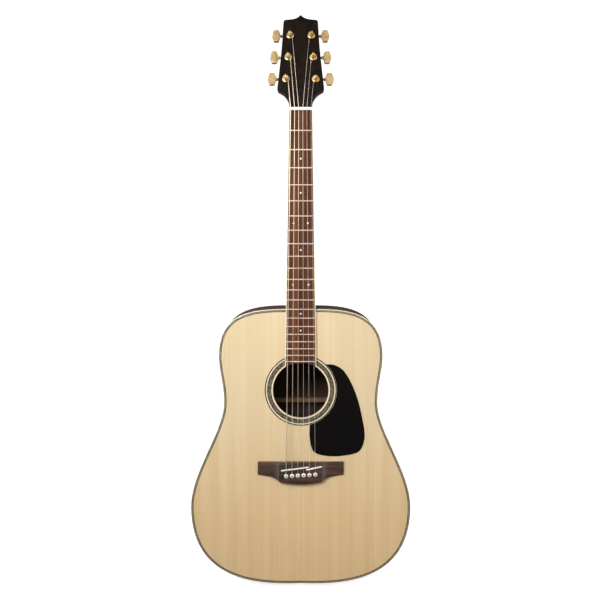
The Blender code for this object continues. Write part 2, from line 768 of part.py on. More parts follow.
def neck_section(z, front, depth, width, heel):
    """A rounded half section; heel runs from 0, a plain round, to 1, a deep narrowing heel."""
    power, narrowing, steps = 2.1 + 1.9 * heel, 0.45 * heel, 16
    section = []
    for i in range(steps + 1):
        angle = math.pi * i / steps
        down = abs(math.sin(angle)) ** (2 / power) if 0 < i < steps else 0.0
        out = abs(math.cos(angle)) ** (2 / power) * math.copysign(1, math.cos(angle))
        section.append((out * width / 2 * (1 - narrowing * down), front + depth * down, z))
    return section


def neck_sections():
    """From the body's edge up the neck, then on behind the headstock's face."""
    foot = BODY_TOP + GAP
    swell = NECK_DEPTH_HEEL
    stations = [(foot, HEEL_DEPTH, 1.0)]
    for i in range(9):
        a = math.pi / 2 * i / 8
        z = foot + HEEL_CAP_LENGTH + HEEL_CURVE * (1 - math.cos(a))
        depth = swell + (HEEL_DEPTH - swell) * (1 - math.sin(a))
        stations.append((z, depth, (depth - swell) / (HEEL_DEPTH - swell)))
    for share in (0.33, 0.67, 1.0):
        z = stations[9][0] + (NUT_Z - stations[9][0]) * share
        stations.append((z, swell + (NECK_DEPTH_NUT - swell) * share, 0.0))
    sections = [neck_section(z, TOP_FACE, depth, board_width(z), heel) for z, depth, heel in stations]
    width = 2 * THROAT_HALF - 0.0005
    for rise, depth in ((0.005, 0.0145), (0.012, 0.0138), (0.020, 0.0115), (0.028, 0.008)):
        face = HEAD_ORIGIN.y + (rise - NUT_THICKNESS) * math.tan(HEAD_TILT)
        front = max(TOP_FACE, face + HEADPLATE + 0.001)
        sections.append(neck_section(NUT_Z + rise, front, depth, width, 0.0))
    return sections


def head_outline():
    """The headstock's outline in its own plane, from throat to the pointed crest."""
    return mirrored(smooth_path(THROAT, 3) + smooth_path(FLANK, 2) + smooth_path(CREST, 3))


def head_frame():
    return Matrix.Translation(HEAD_ORIGIN) @ Matrix.Rotation(-HEAD_TILT, 4, "X")


def post_places():
    """The six posts, as (side, x, z) in the headstock's plane, from the low E round to the high E."""
    bass = [(-1, -x, z) for x, z in POSTS]
    treble = [(1, x, z) for x, z in reversed(POSTS)]
    return bass + treble


def bushing_holes():
    radius, back = BUSHING_RADIUS + GAP, HEAD_BACK + PAST
    rods = [moved(rod(radius, -PAST, back, 12, (0, 1, 0)), (x, 0, z)) for _, x, z in post_places()]
    tool = as_tool("bushing_holes", merged(*rods))
    tool.matrix_world = head_frame()
    return tool


def throat_carving():
    """What is taken off the head's back where it thins down to meet the neck."""
    behind_it, start, end = HEAD_BACK + PAST, -PAST, 0.026
    side = [(behind_it, start), (0.0065, start), (0.0072, HEAD_START), (HEAD_BACK, end)]
    side.append((behind_it, end + 0.004))
    return loft([[(x, y, z) for y, z in side] for x in (-NUT_WIDTH, NUT_WIDTH)])


def make_neck(holes):
    neck = as_object("neck", loft(neck_sections()), MAHOGANY, 40)
    head = as_tool("head_blank", prism(head_outline(), flat(HEADPLATE + GAP), flat(HEAD_BACK)))
    head.matrix_world = head_frame()
    carved = as_tool("throat_carving", throat_carving())
    carved.matrix_world = head_frame()
    cut(head, carved)
    join(neck, head)
    foot = BODY_TOP + GAP
    tenon = rectangle(-TENON_HALF, TENON_HALF, foot - TENON_LENGTH, foot + 0.004)
    join(neck, as_tool("tenon", prism(tenon, flat(TENON_FRONT), flat(TENON_BACK))))
    half = ROD_RADIUS + GAP
    channel = rectangle(-half, half, foot - 0.01, NUT_Z - 0.0115)
    channel = prism(channel, flat(TOP_FACE - PAST), flat(ROD_Y + half))
    cut(neck, as_tool("rod_channel", channel))
    cut(neck, holes)


def make_truss_rod():
    """A threaded rod with its hexagon nut inside the body, in reach through the soundhole."""
    nut_radius, nut_end = 0.0042, ROD_BOTTOM + 0.005
    profile = [(0, ROD_BOTTOM), (nut_radius, ROD_BOTTOM), (nut_radius, nut_end)]
    profile += [(ROD_RADIUS, nut_end), (ROD_RADIUS, NUT_Z - 0.012), (0, NUT_Z - 0.012)]
    made = as_object("truss_rod", turned(profile, 6), STEEL)
    made.location = (0, ROD_Y, 0)


def make_headplate(holes, frame):
    plate = as_object("headplate", prism(head_outline(), flat(0.0), flat(HEADPLATE)), BLACK_PLASTIC)
    plate.parent = frame
    cut(plate, holes)


# Tuning machines


def housing_outline(side):
    """Rounded case over the gear, with room for the worm shaft above it."""
    inner, outer, low, high, corner = -0.0078, 0.0088, -0.0078, 0.0118, 0.003
    centres = ((outer - corner, low + corner), (outer - corner, high - corner))
    centres += ((inner + corner, high - corner), (inner + corner, low + corner))
    points = []
    for quarter, (x, z) in enumerate(centres):
        for step in range(4):
            a = math.pi / 2 * (quarter - 1 + step / 3)
            points.append((side * (x + corner * math.cos(a)), z + corner * math.sin(a)))
    return points


def make_housing(number, side, x, z, frame):
    """Case, bushing through the headstock and flange in front of it, with the hollows they need."""
    case = prism(housing_outline(side), flat(HOUSING_FRONT), flat(HOUSING_BACK))
    made = as_object(f"tuner_housing_{number}", case, GOLD)
    flange = FLANGE_RADIUS
    profile = [(0, -GAP - FLANGE_THICKNESS), (flange - 0.0012, -GAP - FLANGE_THICKNESS)]
    profile += [(flange, -GAP - 0.0008), (flange, -GAP), (BUSHING_RADIUS, -GAP)]
    profile += [(BUSHING_RADIUS, HOUSING_FRONT + 0.001), (0, HOUSING_FRONT + 0.001)]
    bushing = as_tool(f"bushing_{number}", turned(profile, 12, (0, 1, 0)))
    room = POST_RADIUS + POST_CLEARANCE
    well = GEAR_RADIUS + POST_CLEARANCE
    top, bottom = HOUSING_FRONT + 0.0015, HOUSING_BACK - HOUSING_WALL
    bore = [(0, -PAST), (room, -PAST), (room, top), (well, top), (well, bottom), (0, bottom)]
    hollow = as_tool(f"gear_well_{number}", turned(bore, 12, (0, 1, 0)))
    shaft = rod(SHAFT_RADIUS + POST_CLEARANCE, WORM_END - POST_CLEARANCE, 0.02, 8, (side, 0, 0))
    shaft = as_tool(f"shaft_bore_{number}", moved(shaft, (0, SHAFT_Y, WORM_OFFSET)))
    for piece in (made, bushing, hollow, shaft):
        piece.parent = frame
        piece.location = (x, 0, z)
    join(made, bushing)
    cut(made, hollow)
    cut(made, shaft)


def make_post(number, x, z, frame):
    """Capstan with its gear, turning in the bushing."""
    gear_front, gear_back = SHAFT_Y - GEAR_HALF, SHAFT_Y + GEAR_HALF
    profile = [(0, POST_TIP), (POST_RADIUS - 0.0008, POST_TIP), (POST_RADIUS, POST_TIP + 0.0008)]
    profile += [(POST_RADIUS, gear_front), (GEAR_RADIUS, gear_front)]
    profile += [(GEAR_RADIUS, gear_back), (0, gear_back)]
    post = as_object(f"tuner_post_{number}", turned(profile, 12, (0, 1, 0)), GOLD, 30)
    post.parent = frame
    post.location = (x, 0, z)


def knob_outline(share):
    """A rounded barrel seen from the front, shrunk to share of its size."""
    half_x, half_z = KNOB_SIZE[0] / 2 * share, KNOB_SIZE[2] / 2 * share
    squareness, points = 0.72, []
    for i in range(16):
        a = 2 * math.pi * (i + 0.5) / 16
        x = half_x * abs(math.cos(a)) ** squareness
        z = half_z * abs(math.sin(a)) ** squareness
        points.append((math.copysign(x, math.cos(a)), math.copysign(z, math.sin(a))))
    return points


def make_knob(number, side, x, z, frame):
    """Knob and worm shaft in one, turning about the shaft."""
    half = KNOB_SIZE[1] / 2
    layers = ((-half, 0.74), (-half * 0.55, 1.0), (half * 0.55, 1.0), (half, 0.74))
    sections = [[(side * KNOB_REACH + u, y, v) for u, v in knob_outline(share)] for y, share in layers]
    made = as_object(f"tuner_knob_{number}", loft(sections), AMBER, 30)
    collar = KNOB_REACH - KNOB_SIZE[0] / 2
    profile = [(0, WORM_END), (SHAFT_RADIUS, WORM_END), (SHAFT_RADIUS, collar - 0.003)]
    profile += [(0.003, collar - 0.002), (0.003, collar + 0.002), (0, collar + 0.002)]
    stem = as_tool(f"knob_stem_{number}", turned(profile, 8, (side, 0, 0)))
    for piece in (made, stem):
        piece.parent = frame
        piece.location = (x, SHAFT_Y, z + WORM_OFFSET)
    join(made, stem)


# Strings


def string_route(number):
    """The string's middle, from the bridge pin over saddle and nut, then round its post."""
    radius, share = STRING_RADII[number], number / 5 - 0.5
    pin_x, pin_z = pin_places()[number]
    (x0, z0), (x1, z1) = BASS_SADDLE if number < 4 else TREBLE_SADDLE
    saddle_x = share * SADDLE_SPREAD
    saddle_z = z0 + (z1 - z0) * (saddle_x - x0) / (x1 - x0)
    saddle_z -= SADDLE_THICKNESS / 2 + 2 * GAP
    crest_y = string_underside(saddle_z) - radius
    end = Vector((pin_x, BRIDGE_FACE - GAP - radius, pin_z + PIN_HEAD_RADIUS + 2 * GAP))
    nut_z = NUT_Z + NUT_THICKNESS * 0.6
    over_nut = Vector((share * NUT_SPREAD, STRING_AT_NUT - radius, nut_z))
    return [end, Vector((saddle_x, crest_y, saddle_z)), over_nut, *winding(number, over_nut)]


def winding(number, last):
    """The turns up the post, from where the string meets it, clear of the metal."""
    frame = head_frame()
    start = frame.inverted() @ last
    side, x, z = post_places()[number]
    reach = POST_RADIUS + GAP + STRING_RADII[number]
    pitch = 2 * STRING_RADII[number] + GAP
    away = Vector((start.x - x, start.z - z))
    first = math.atan2(away.y, away.x) - side * math.acos(reach / away.length)
    steps, points = 10, []
    for i in range(int(COIL_TURNS * steps) + 1):
        angle = first - side * 2 * math.pi * i / steps
        out, up = reach * math.cos(angle), reach * math.sin(angle)
        points.append(frame @ Vector((x + out, COIL_START - pitch * i / steps, z + up)))
    return points


def make_strings():
    for number, radius in enumerate(STRING_RADII):
        name = f"string_{number + 1}"
        curve = bpy.data.curves.new(name, "CURVE")
        curve.dimensions = "3D"
        curve.bevel_depth = radius
        curve.bevel_resolution = 1
        curve.use_fill_caps = True
        route = string_route(number)
        spline = curve.splines.new("POLY")
        spline.points.add(len(route) - 1)
        for point, place in zip(spline.points, route):
            point.co = (*place, 1.0)
        curve.materials.append(material(BRONZE if number < 4 else STEEL))
        bpy.context.scene.collection.objects.link(bpy.data.objects.new(name, curve))


# Strap button


def make_end_pin():
    foot, waist, seat = BUTTON_FOOT, BUTTON_WAIST, BODY_BOTTOM - GAP
    profile = [(0, 0), (BUTTON_RADIUS - 0.001, 0), (BUTTON_RADIUS, 0.001), (BUTTON_RADIUS, 0.003)]
    profile += [(waist, 0.006), (waist, 0.009), (foot, 0.0115), (foot, seat)]
    profile += [(BUTTON_SHANK, seat), (BUTTON_SHANK * 0.9, BUTTON_END), (0, BUTTON_END)]
    as_object("end_pin", turned(profile, 16), GOLD, 30)


def main():
    for old in list(bpy.data.objects):
        bpy.data.objects.remove(old, do_unlink=True)
    holes = as_tool("pin_holes", pin_holes())
    button_hole = as_tool("button_hole", rod(BUTTON_SHANK + GAP, 0.0, BUTTON_END + GAP, 16))
    neck_slot = as_tool("neck_slots", neck_slots())
    make_soundboard(holes)
    make_back_plate()
    make_sides(button_hole, neck_slot)
    make_bindings()
    make_linings()
    make_blocks(button_hole, neck_slot)
    make_x_braces()
    make_flat_braces()
    make_bridge_plate(holes)
    make_rosette()
    make_pickguard()
    make_bridge(holes)
    make_saddles()
    make_bridge_pins()
    make_fretboard()
    make_nut()
    tuner_holes = bushing_holes()
    make_neck(tuner_holes)
    make_truss_rod()
    frame = bpy.data.objects.new("headstock_plane", None)
    frame.matrix_world = head_frame()
    bpy.context.scene.collection.objects.link(frame)
    make_headplate(tuner_holes, frame)
    for number, (side, x, z) in enumerate(post_places(), 1):
        make_housing(number, side, x, z, frame)
        make_post(number, x, z, frame)
        make_knob(number, side, x, z, frame)
    make_strings()
    make_end_pin()


main()
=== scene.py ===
"""The looks of the guitar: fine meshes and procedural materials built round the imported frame, in metres.

+Z runs up the neck, the soundboard faces -Y and +X is the treble side. The sizes in the first section
are the CAD source's own; the finer ones below them are only seen.
"""

from math import acos, atan2, copysign, cos, dist, exp, hypot, log1p, pi, radians, sin, sqrt, tan

import bmesh
import bpy
from mathutils import Matrix, Vector


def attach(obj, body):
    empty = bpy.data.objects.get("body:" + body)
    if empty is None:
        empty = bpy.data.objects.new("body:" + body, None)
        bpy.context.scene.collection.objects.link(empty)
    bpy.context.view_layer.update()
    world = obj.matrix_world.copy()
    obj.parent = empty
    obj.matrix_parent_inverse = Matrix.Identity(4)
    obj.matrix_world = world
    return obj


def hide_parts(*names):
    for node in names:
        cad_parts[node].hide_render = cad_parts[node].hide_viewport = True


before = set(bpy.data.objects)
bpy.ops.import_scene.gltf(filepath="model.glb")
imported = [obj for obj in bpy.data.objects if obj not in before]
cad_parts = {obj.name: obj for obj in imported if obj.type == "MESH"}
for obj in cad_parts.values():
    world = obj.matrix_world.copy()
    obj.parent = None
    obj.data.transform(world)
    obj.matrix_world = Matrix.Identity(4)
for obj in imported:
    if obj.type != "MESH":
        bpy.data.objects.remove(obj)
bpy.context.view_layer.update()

# ---------- sizes shared with the CAD source

GAP = 0.0003
BODY_BOTTOM = 0.014
BODY_LENGTH = 0.512
BODY_TOP = BODY_BOTTOM + BODY_LENGTH
LOWER_BOUT = (0.2034, BODY_BOTTOM + 0.1445)
WAIST = (0.1413, BODY_BOTTOM + 0.3409)
UPPER_BOUT = (0.1503, BODY_BOTTOM + 0.4246)
TAIL_HANDLE = 0.0482
LOWER_BOUT_HANDLES = (0.1572, 0.0667)
WAIST_HANDLES = (0.0548, 0.0351)
UPPER_BOUT_HANDLES = (0.0252, 0.0921)
NECK_HANDLE = 0.0716
TOP_FACE = -0.06
BACK_AT_TAIL = 0.06
BACK_AT_NECK = 0.04
PLATE = 0.0028
SIDE = 0.0023
BINDING_WIDTH = 0.0022
BINDING_DEPTH = 0.006

SCALE_LENGTH = 0.644
FRETS = 21
NUT_Z = BODY_TOP + SCALE_LENGTH * (1 - 2 ** (-14 / 12))
NUT_WIDTH = 0.043
NUT_THICKNESS = 0.005
BOARD_END_WIDTH = 0.057
BOARD_FACE = TOP_FACE - GAP - 0.0064
BOARD_BINDING = 0.0016
BOARD_TOP = NUT_Z - GAP
FRET_WIDTH = 0.0022
FRET_HEIGHT = 0.001
NECK_DEPTH_NUT = 0.0145
NECK_DEPTH_HEEL = 0.0175
HEEL_DEPTH = 0.096
HEEL_CAP_LENGTH = 0.012
HEEL_CURVE = 0.046

HOLE_Z = NUT_Z - 0.506
HOLE_RADIUS = 0.051
BOARD_ARC = HOLE_RADIUS + 2 * GAP
ROSETTE_OUTER = 0.066
BRIDGE_TOP_Z = NUT_Z - 0.6382
BRIDGE_HALF = 0.079
BRIDGE_FLAT_HALF = 0.0398
BRIDGE_HEIGHT = 0.009
BRIDGE_TIP_HEIGHT = 0.0036
BRIDGE_FACE = TOP_FACE - GAP - BRIDGE_HEIGHT

STRING_RADII = (0.00068, 0.00053, 0.00041, 0.00031, 0.00021, 0.00016)
NUT_SPREAD = 0.0362
SADDLE_SPREAD = 0.0534
STRING_AT_NUT = -0.0681
STRING_RISE = 0.0059
SADDLE_THICKNESS = 0.0028
SADDLE_SEAT = -0.0655
BASS_SADDLE = ((-0.0362, NUT_Z - 0.6536), (0.0142, NUT_Z - 0.6471))
TREBLE_SADDLE = ((0.01, NUT_Z - 0.652), (0.0382, NUT_Z - 0.6459))
PIN_ROW = (NUT_Z - 0.6635, NUT_Z - 0.6604)
PIN_HEAD_RADIUS = 0.00385
PIN_SHANK_RADIUS = 0.0025

HEAD_TILT = radians(14)
HEAD_ORIGIN = Vector((0, -0.0635, NUT_Z + NUT_THICKNESS))
HEAD_START = 0.001
HEADPLATE = 0.002
HEAD_BACK = 0.0143
POSTS = ((0.0267, 0.0544), (0.0226, 0.0966), (0.0192, 0.1388))
FLANGE_RADIUS = 0.00675
POST_RADIUS = 0.003
POST_TIP = -0.0125
WORM_OFFSET = 0.0075
SHAFT_RADIUS = 0.0019
SHAFT_Y = 0.0193
HOUSING_BACK = 0.0243
KNOB_REACH = 0.0257
KNOB_SIZE = (0.0148, 0.0078, 0.0235)
BUTTON_RADIUS = 0.0075

# ---------- sizes of the fine detail

PROUD = 0.00006  # how far an inlay stands above the wood round it
LINE = 0.0006  # width of a purfling line
TOP_LINES_START = 0.0015  # how far in from the edge the top's purfling starts
BOARD_CURVE = 0.406  # radius across the fretboard
DOT_RADIUS = 0.00175
SINGLE_DOTS = (3, 5, 9, 15, 17)
DOUBLE_DOTS = ((7, 0.0128), (12, 0.014))
NUT_CREST = STRING_AT_NUT - 0.0004
POST_HOLE_Y = -0.0102
SIDE_DOT_Y = -0.0641
GUARD_THICKNESS = 0.0013
COIL_START = -0.0052  # where a string's first turn lies along its post
TURN_GAP = 0.00008
HOLE_SIDES = 160
HANDS = (("bass", -1), ("treble", 1))

HEAD = Matrix.Translation(HEAD_ORIGIN) @ Matrix.Rotation(-HEAD_TILT, 4, "X")

# ---------- materials


class Graph:
    """A node tree. Each call adds one node and gives back an output to link on."""

    def __init__(self, owner):
        owner.use_nodes = True
        self.tree = owner.node_tree

    def put(self, socket, value):
        """Links the socket to an output, or sets it; colours are opaque."""
        if isinstance(value, bpy.types.NodeSocket):
            self.tree.links.new(value, socket)
        else:
            socket.default_value = (*value, 1) if socket.type == "RGBA" else value

    def add(self, kind, inputs, output=0, **settings):
        node = self.tree.nodes.new("ShaderNode" + kind)
        for name, value in settings.items():
            setattr(node, name, value)
        for name, value in inputs.items():
            self.put(node.inputs[name], value)
        return node.outputs[output]

    def axes(self, where):
        return self.add("SeparateXYZ", {0: where}).node.outputs

    def vector(self, x, y, z):
        return self.add("CombineXYZ", {0: x, 1: y, 2: z})

    def noise(self, where, scale, detail=3, rough=0.5, warp=0):
        """Noise with scale changes in a metre, which may differ along x, y and z."""
        if isinstance(scale, tuple):
            where, scale = self.add("Mapping", {"Vector": where, "Scale": scale}), 1
        inputs = {"Vector": where, "Scale": scale, "Detail": detail, "Roughness": rough, "Distortion": warp}
        return self.add("TexNoise", inputs, "Fac")

    def sum(self, operation, a, b=0, c=0):
        return self.add("Math", {0: a, 1: b, 2: c}, operation=operation)

    def range(self, value, low, high, new_low=0, new_high=1):
        """Maps low to high onto new_low to new_high, and holds the ends."""
        return self.add("MapRange", {0: value, 1: low, 2: high, 3: new_low, 4: new_high})

    def mix(self, share, a, b, blend="MIX"):
        return self.add("Mix", {0: share, 6: a, 7: b}, 2, data_type="RGBA", blend_type=blend)

    def tint(self, a, b, value, low, high, least=0, most=1):
        """Goes from colour a towards b as the value goes from low to high."""
        return self.mix(self.range(value, low, high, least, most), a, b)

    def bump(self, height, depth, below=None):
        """Height 0 to 1 becomes depth metres of relief, on top of another bump if there is one."""
        inputs = {"Height": height, "Distance": depth}
        return self.add("Bump", inputs | {"Normal": below} if below else inputs)


class Paint(Graph):
    """A material on a Principled shader."""

    def __init__(self, name):
        self.material = bpy.data.materials.new(name)
        super().__init__(self.material)
        self.shader = self.tree.nodes["Principled BSDF"]

    def place(self):
        """The object's own coordinates in metres."""
        return self.add("TexCoord", {}, "Object")

    def done(self, colour, roughness, **sockets):
        """Sets the shader's sockets, whose names have _ for each space."""
        sockets |= {"Base_Color": colour, "Roughness": roughness}
        for name, value in sockets.items():
            self.put(self.shader.inputs[name.replace("_", " ")], value)
        return self.material


def wood_grain(paint, where, across, along):
    """Three layers of figure stretched along the grain: broad bands, streaks and fine fibres."""
    bands = paint.noise(where, (across, across, along), 3, 0.55, 0.4)
    streaks = paint.noise(where, (across * 7, across * 7, along * 2), 4, 0.6, 0.2)
    fibres = paint.noise(where, (across * 45, across * 45, along * 9), 2, 0.6)
    return bands, streaks, fibres


def spruce():
    """Fine straight grain that mirrors at the centre seam and widens to the edges."""
    paint = Paint("spruce_top")
    where = paint.place()
    x, y, z = paint.axes(where)
    mirror = paint.sum("ABSOLUTE", x)
    lean = paint.sum("MULTIPLY_ADD", paint.noise(where, (3, 1, 5), 2), 0.006, mirror)
    grain = paint.vector(lean, y, z)
    bands, streaks, fibres = wood_grain(paint, grain, 52, 1.1)
    rings = paint.sum("MULTIPLY", paint.sum("POWER", lean, 0.86), 2400)
    waver = paint.sum("MULTIPLY", streaks, 9)
    lines = paint.range(paint.sum("SINE", paint.sum("ADD", rings, waver)), 0.1, 1)
    tone = paint.tint((0.765, 0.56, 0.305), (0.86, 0.68, 0.415), bands, 0.3, 0.7)
    tone = paint.tint(tone, (0.735, 0.5, 0.255), streaks, 0.35, 0.75, 0, 0.34)
    depth = paint.range(paint.noise(grain, (30, 30, 2), 2), 0.3, 0.7, 0.05, 0.28)
    tone = paint.mix(paint.sum("MULTIPLY", lines, depth), tone, (0.6, 0.37, 0.165))
    silk = paint.noise(where, (22, 22, 260), 2, 0.7, 0.6)
    tone = paint.tint(tone, (0.93, 0.78, 0.52), silk, 0.58, 0.72, 0, 0.1)
    tone = paint.tint(tone, (0.52, 0.32, 0.15), x, -0.0004, 0.0004, 0, 0.025)
    # Painted light and shade: the colour shifts with height, darker and warmer towards the bottom, cooler
    # and brighter towards the top.
    light_falloff_tint = paint.tint((0.925, 0.868, 0.8), (0.89, 0.928, 0.98), z, 0.13, 0.35)
    tone = paint.mix(1, tone, light_falloff_tint, "MULTIPLY")
    tone = paint.tint(tone, (0.42, 0.26, 0.12), mirror, 0.00008, 0.00035, 0.45, 0)
    rough = paint.range(fibres, 0.2, 0.8, 0.3, 0.42)
    relief = paint.bump(lines, 0.00002, paint.bump(fibres, 0.000012))
    return paint.done(tone, rough, Normal=relief, Coat_Weight=0.3, Coat_Roughness=0.15)


def dark_wood(name, tones, grain, pore, gloss, coat=0, shine=0.5, depth=0.00004, bend=Paint.place):
    """A rosewood: near-black streaks through two browns, with open pores.

    grain and pore hold the changes in a metre across and along the wood, and depth is the pores' depth.
    """
    paint = Paint(name)
    where = bend(paint)
    bands, streaks, fibres = wood_grain(paint, where, *grain)
    across, along = pore
    holes = paint.range(paint.noise(where, (across, across, along), 2, 0.4), 0.6, 0.7, 1, 0)
    dark, middle, light = tones
    tone = paint.tint(middle, light, bands, 0.32, 0.68)
    tone = paint.tint(tone, dark, streaks, 0.46, 0.66)
    tone = paint.tint(tone, middle, fibres, 0.3, 0.8, 0, 0.35)
    tone = paint.tint(tone, dark, holes, 0, 1, 0.7, 0)
    rough = paint.range(fibres, 0.2, 0.8, gloss, gloss + 0.14)
    relief = paint.bump(holes, depth, paint.bump(fibres, depth / 4))
    sockets = {"Coat_Weight": coat, "Coat_Roughness": 0.08, "Specular_IOR_Level": shine}
    return paint.done(tone, rough, Normal=relief, **sockets)


def bookmatched(paint):
    """Coordinates that mirror at the centre and wander a little along the grain."""
    x, y, z = paint.axes(paint.place())
    across = paint.sum("ABSOLUTE", x)
    wander = paint.noise(paint.vector(across, y, z), (7, 1, 4.5), 2, 0.4)
    return paint.vector(paint.sum("MULTIPLY_ADD", wander, 0.05, across), y, z)


def along_side(paint):
    """Coordinates that follow the bent side, from the UV map that its mesh carries."""
    run, depth, _ = paint.axes(paint.add("UVMap", {}, uv_map="grain"))
    return paint.vector(depth, 0, run)


def pale_wood(name, light, dark, across=90, along=3):
    """Plain straight wood for the parts inside the body."""
    paint = Paint(name)
    bands, streaks, fibres = wood_grain(paint, paint.place(), across, along)
    tone = paint.tint(light, dark, bands, 0.3, 0.7)
    tone = paint.tint(tone, dark, streaks, 0.4, 0.8, 0, 0.5)
    return paint.done(tone, paint.range(fibres, 0.2, 0.8, 0.45, 0.65), Normal=paint.bump(fibres, 0.00004))


def plastic(name, colour, shift, gloss, coat=0, glow=0, shine=0.5):
    """Plastic or bone: cloudy colour, a rippled skin and fine scuffs in the gloss."""
    paint = Paint(name)
    where = paint.place()
    tone = paint.tint(colour, shift, paint.noise(where, 190, 4, 0.6, 0.8), 0.3, 0.7)
    scuff = paint.noise(where, (900, 900, 140), 3, 0.7)
    rough = paint.range(scuff, 0.35, 0.75, gloss, gloss + 0.12)
    sockets = {"Normal": paint.bump(paint.noise(where, 420, 2), 0.000005), "Specular_IOR_Level": shine}
    sockets |= {"Coat_Weight": coat, "Coat_Roughness": 0.06}
    return paint.done(tone, rough, Subsurface_Weight=glow, Subsurface_Scale=0.002, **sockets)


def metal(name, colour, worn, gloss, scratches=0.000004, purity=1):
    """Brushed scratches, cloudy polish and a darker tone where the metal has worn."""
    paint = Paint(name)
    cloud = paint.noise(paint.place(), 260, 4, 0.6)
    scratch = paint.noise(paint.place(), (2500, 300, 2500), 2, 0.6)
    tone = paint.tint(colour, worn, cloud, 0.45, 0.72)
    polish = paint.range(cloud, 0.3, 0.7, gloss, gloss + 0.1)
    rough = paint.sum("ADD", polish, paint.range(scratch, 0.4, 0.8, 0, 0.08))
    return paint.done(tone, rough, Normal=paint.bump(scratch, scratches), Metallic=purity)


def wound(pitch=0.00028):
    """Bronze wrap wire round a core: ridges at an even pitch along the string."""
    paint = Paint("bronze_string")
    wraps = paint.sum("MULTIPLY", paint.axes(paint.place())[2], pi / pitch)
    ridges = paint.sum("ABSOLUTE", paint.sum("SINE", wraps))
    cloud = paint.noise(paint.place(), 150, 3, 0.6)
    tone = paint.tint((0.9, 0.78, 0.62), (0.8, 0.67, 0.5), cloud, 0.3, 0.7)
    # Painted shade: darker in the grooves between the wraps.
    tone = paint.tint(tone, (0.42, 0.3, 0.2), ridges, 0, 0.5, 0.4, 0)
    return paint.done(tone, 0.36, Normal=paint.bump(ridges, 0.00004), Metallic=1)


def amber_pearl():
    """Cloudy amber plastic with pearly swirls, slightly see-through."""
    paint = Paint("amber_pearl")
    swirl = paint.noise(paint.place(), 130, 5, 0.6, 2.2)
    flake = paint.noise(paint.place(), 420, 3, 0.6, 1.2)
    tone = paint.tint((0.46, 0.29, 0.1), (0.68, 0.5, 0.25), swirl, 0.35, 0.65)
    tone = paint.tint(tone, (0.8, 0.68, 0.44), flake, 0.5, 0.75, 0, 0.5)
    rough = paint.range(flake, 0.3, 0.7, 0.12, 0.24)
    sockets = {"Subsurface_Weight": 0.2, "Subsurface_Scale": 0.003, "Coat_Weight": 0.4}
    return paint.done(tone, rough, Normal=paint.bump(swirl, 0.00003), Coat_Roughness=0.05, **sockets)


def pearl():
    """Mother of pearl for the dots: pale, with soft bands of pink and green."""
    paint = Paint("pearl")
    bands = paint.noise(paint.place(), (700, 700, 2100), 4, 0.6, 3)
    tone = paint.tint((0.78, 0.8, 0.74), (0.86, 0.8, 0.78), bands, 0.35, 0.5)
    tone = paint.tint(tone, (0.7, 0.8, 0.78), bands, 0.5, 0.7)
    return paint.done(tone, paint.range(bands, 0.3, 0.7, 0.15, 0.3), Coat_Weight=0.6, Coat_Roughness=0.05)


def mosaic():
    """Small chips of grey-green shell and dark wood laid round the soundhole."""
    paint = Paint("rosette_mosaic")
    x, _, z = paint.axes(paint.place())
    z = paint.sum("SUBTRACT", z, HOLE_Z)
    turn = paint.sum("MULTIPLY", paint.sum("ARCTAN2", z, x), 34)
    out = paint.sum("SQRT", paint.sum("MULTIPLY_ADD", x, x, paint.sum("MULTIPLY", z, z)))
    chips = paint.vector(turn, paint.sum("MULTIPLY", out, 900), 0)
    chips = {"Vector": chips, "Scale": 1, "Randomness": 0.75}
    edge = paint.add("TexVoronoi", chips, feature="DISTANCE_TO_EDGE")
    cells = paint.add("TexVoronoi", chips, "Color")
    shade, kind, polish = paint.add("SeparateColor", {0: cells}).node.outputs
    tone = paint.tint((0.085, 0.068, 0.04), (0.3, 0.245, 0.155), shade, 0.1, 0.9)
    tone = paint.tint(tone, (0.03, 0.022, 0.014), kind, 0.66, 0.72)
    tone = paint.tint(tone, (0.03, 0.025, 0.018), edge, 0.02, 0.07, 0.8, 0)
    rough = paint.range(polish, 0, 1, 0.12, 0.4)
    return paint.done(tone, rough, Normal=paint.bump(edge, 0.00002), Coat_Weight=0.5, Coat_Roughness=0.08)


def studio():
    """Matt white for the floor and backdrop, with the faintest unevenness."""
    paint = Paint("studio_white")
    tone = paint.mix(paint.noise(paint.place(), 1.5, 2), (0.9, 0.9, 0.895), (0.92, 0.92, 0.915))
    return paint.done(tone, 0.9, Specular_IOR_Level=0, Emission_Color=(1, 1, 1), Emission_Strength=0.85)


SPRUCE = spruce()
BODY_TONES = ((0.012, 0.006, 0.005), (0.06, 0.026, 0.017), (0.125, 0.055, 0.033))
ROSEWOOD = dark_wood("body_rosewood", BODY_TONES, (30, 0.8), (1500, 130), 0.28, coat=0.5, bend=bookmatched)
BENT_ROSEWOOD = dark_wood("bent_rosewood", BODY_TONES, (46, 1), (1500, 130), 0.46, 0, 0.15, bend=along_side)
# The inside of the back: bare wood whose tones are darkened as painted shade for the dim inside of the body.
SHADED_BARE_TONES = ((0.013, 0.0075, 0.0055), (0.037, 0.02, 0.0135), (0.064, 0.035, 0.024))
SHADED_BARE_ROSEWOOD = dark_wood("bare_rosewood_painted_shade", SHADED_BARE_TONES, (38, 1.2), (1500, 130), 0.7, shine=0.2)
BOARD_TONES = ((0.009, 0.0028, 0.0012), (0.062, 0.0165, 0.0058), (0.225, 0.073, 0.026))
BOARD_WOOD = dark_wood("fingerboard_rosewood", BOARD_TONES, (62, 1.3), (4000, 350), 0.46, shine=0.12)
BRIDGE_TONES = ((0.014, 0.0075, 0.005), (0.056, 0.026, 0.015), (0.104, 0.049, 0.029))
BRIDGE_WOOD = dark_wood("bridge_rosewood", BRIDGE_TONES, (2.6, 90), (300, 3500), 0.36, coat=0.45)
NECK_TONES = ((0.018, 0.008, 0.005), (0.052, 0.02, 0.011), (0.088, 0.036, 0.019))
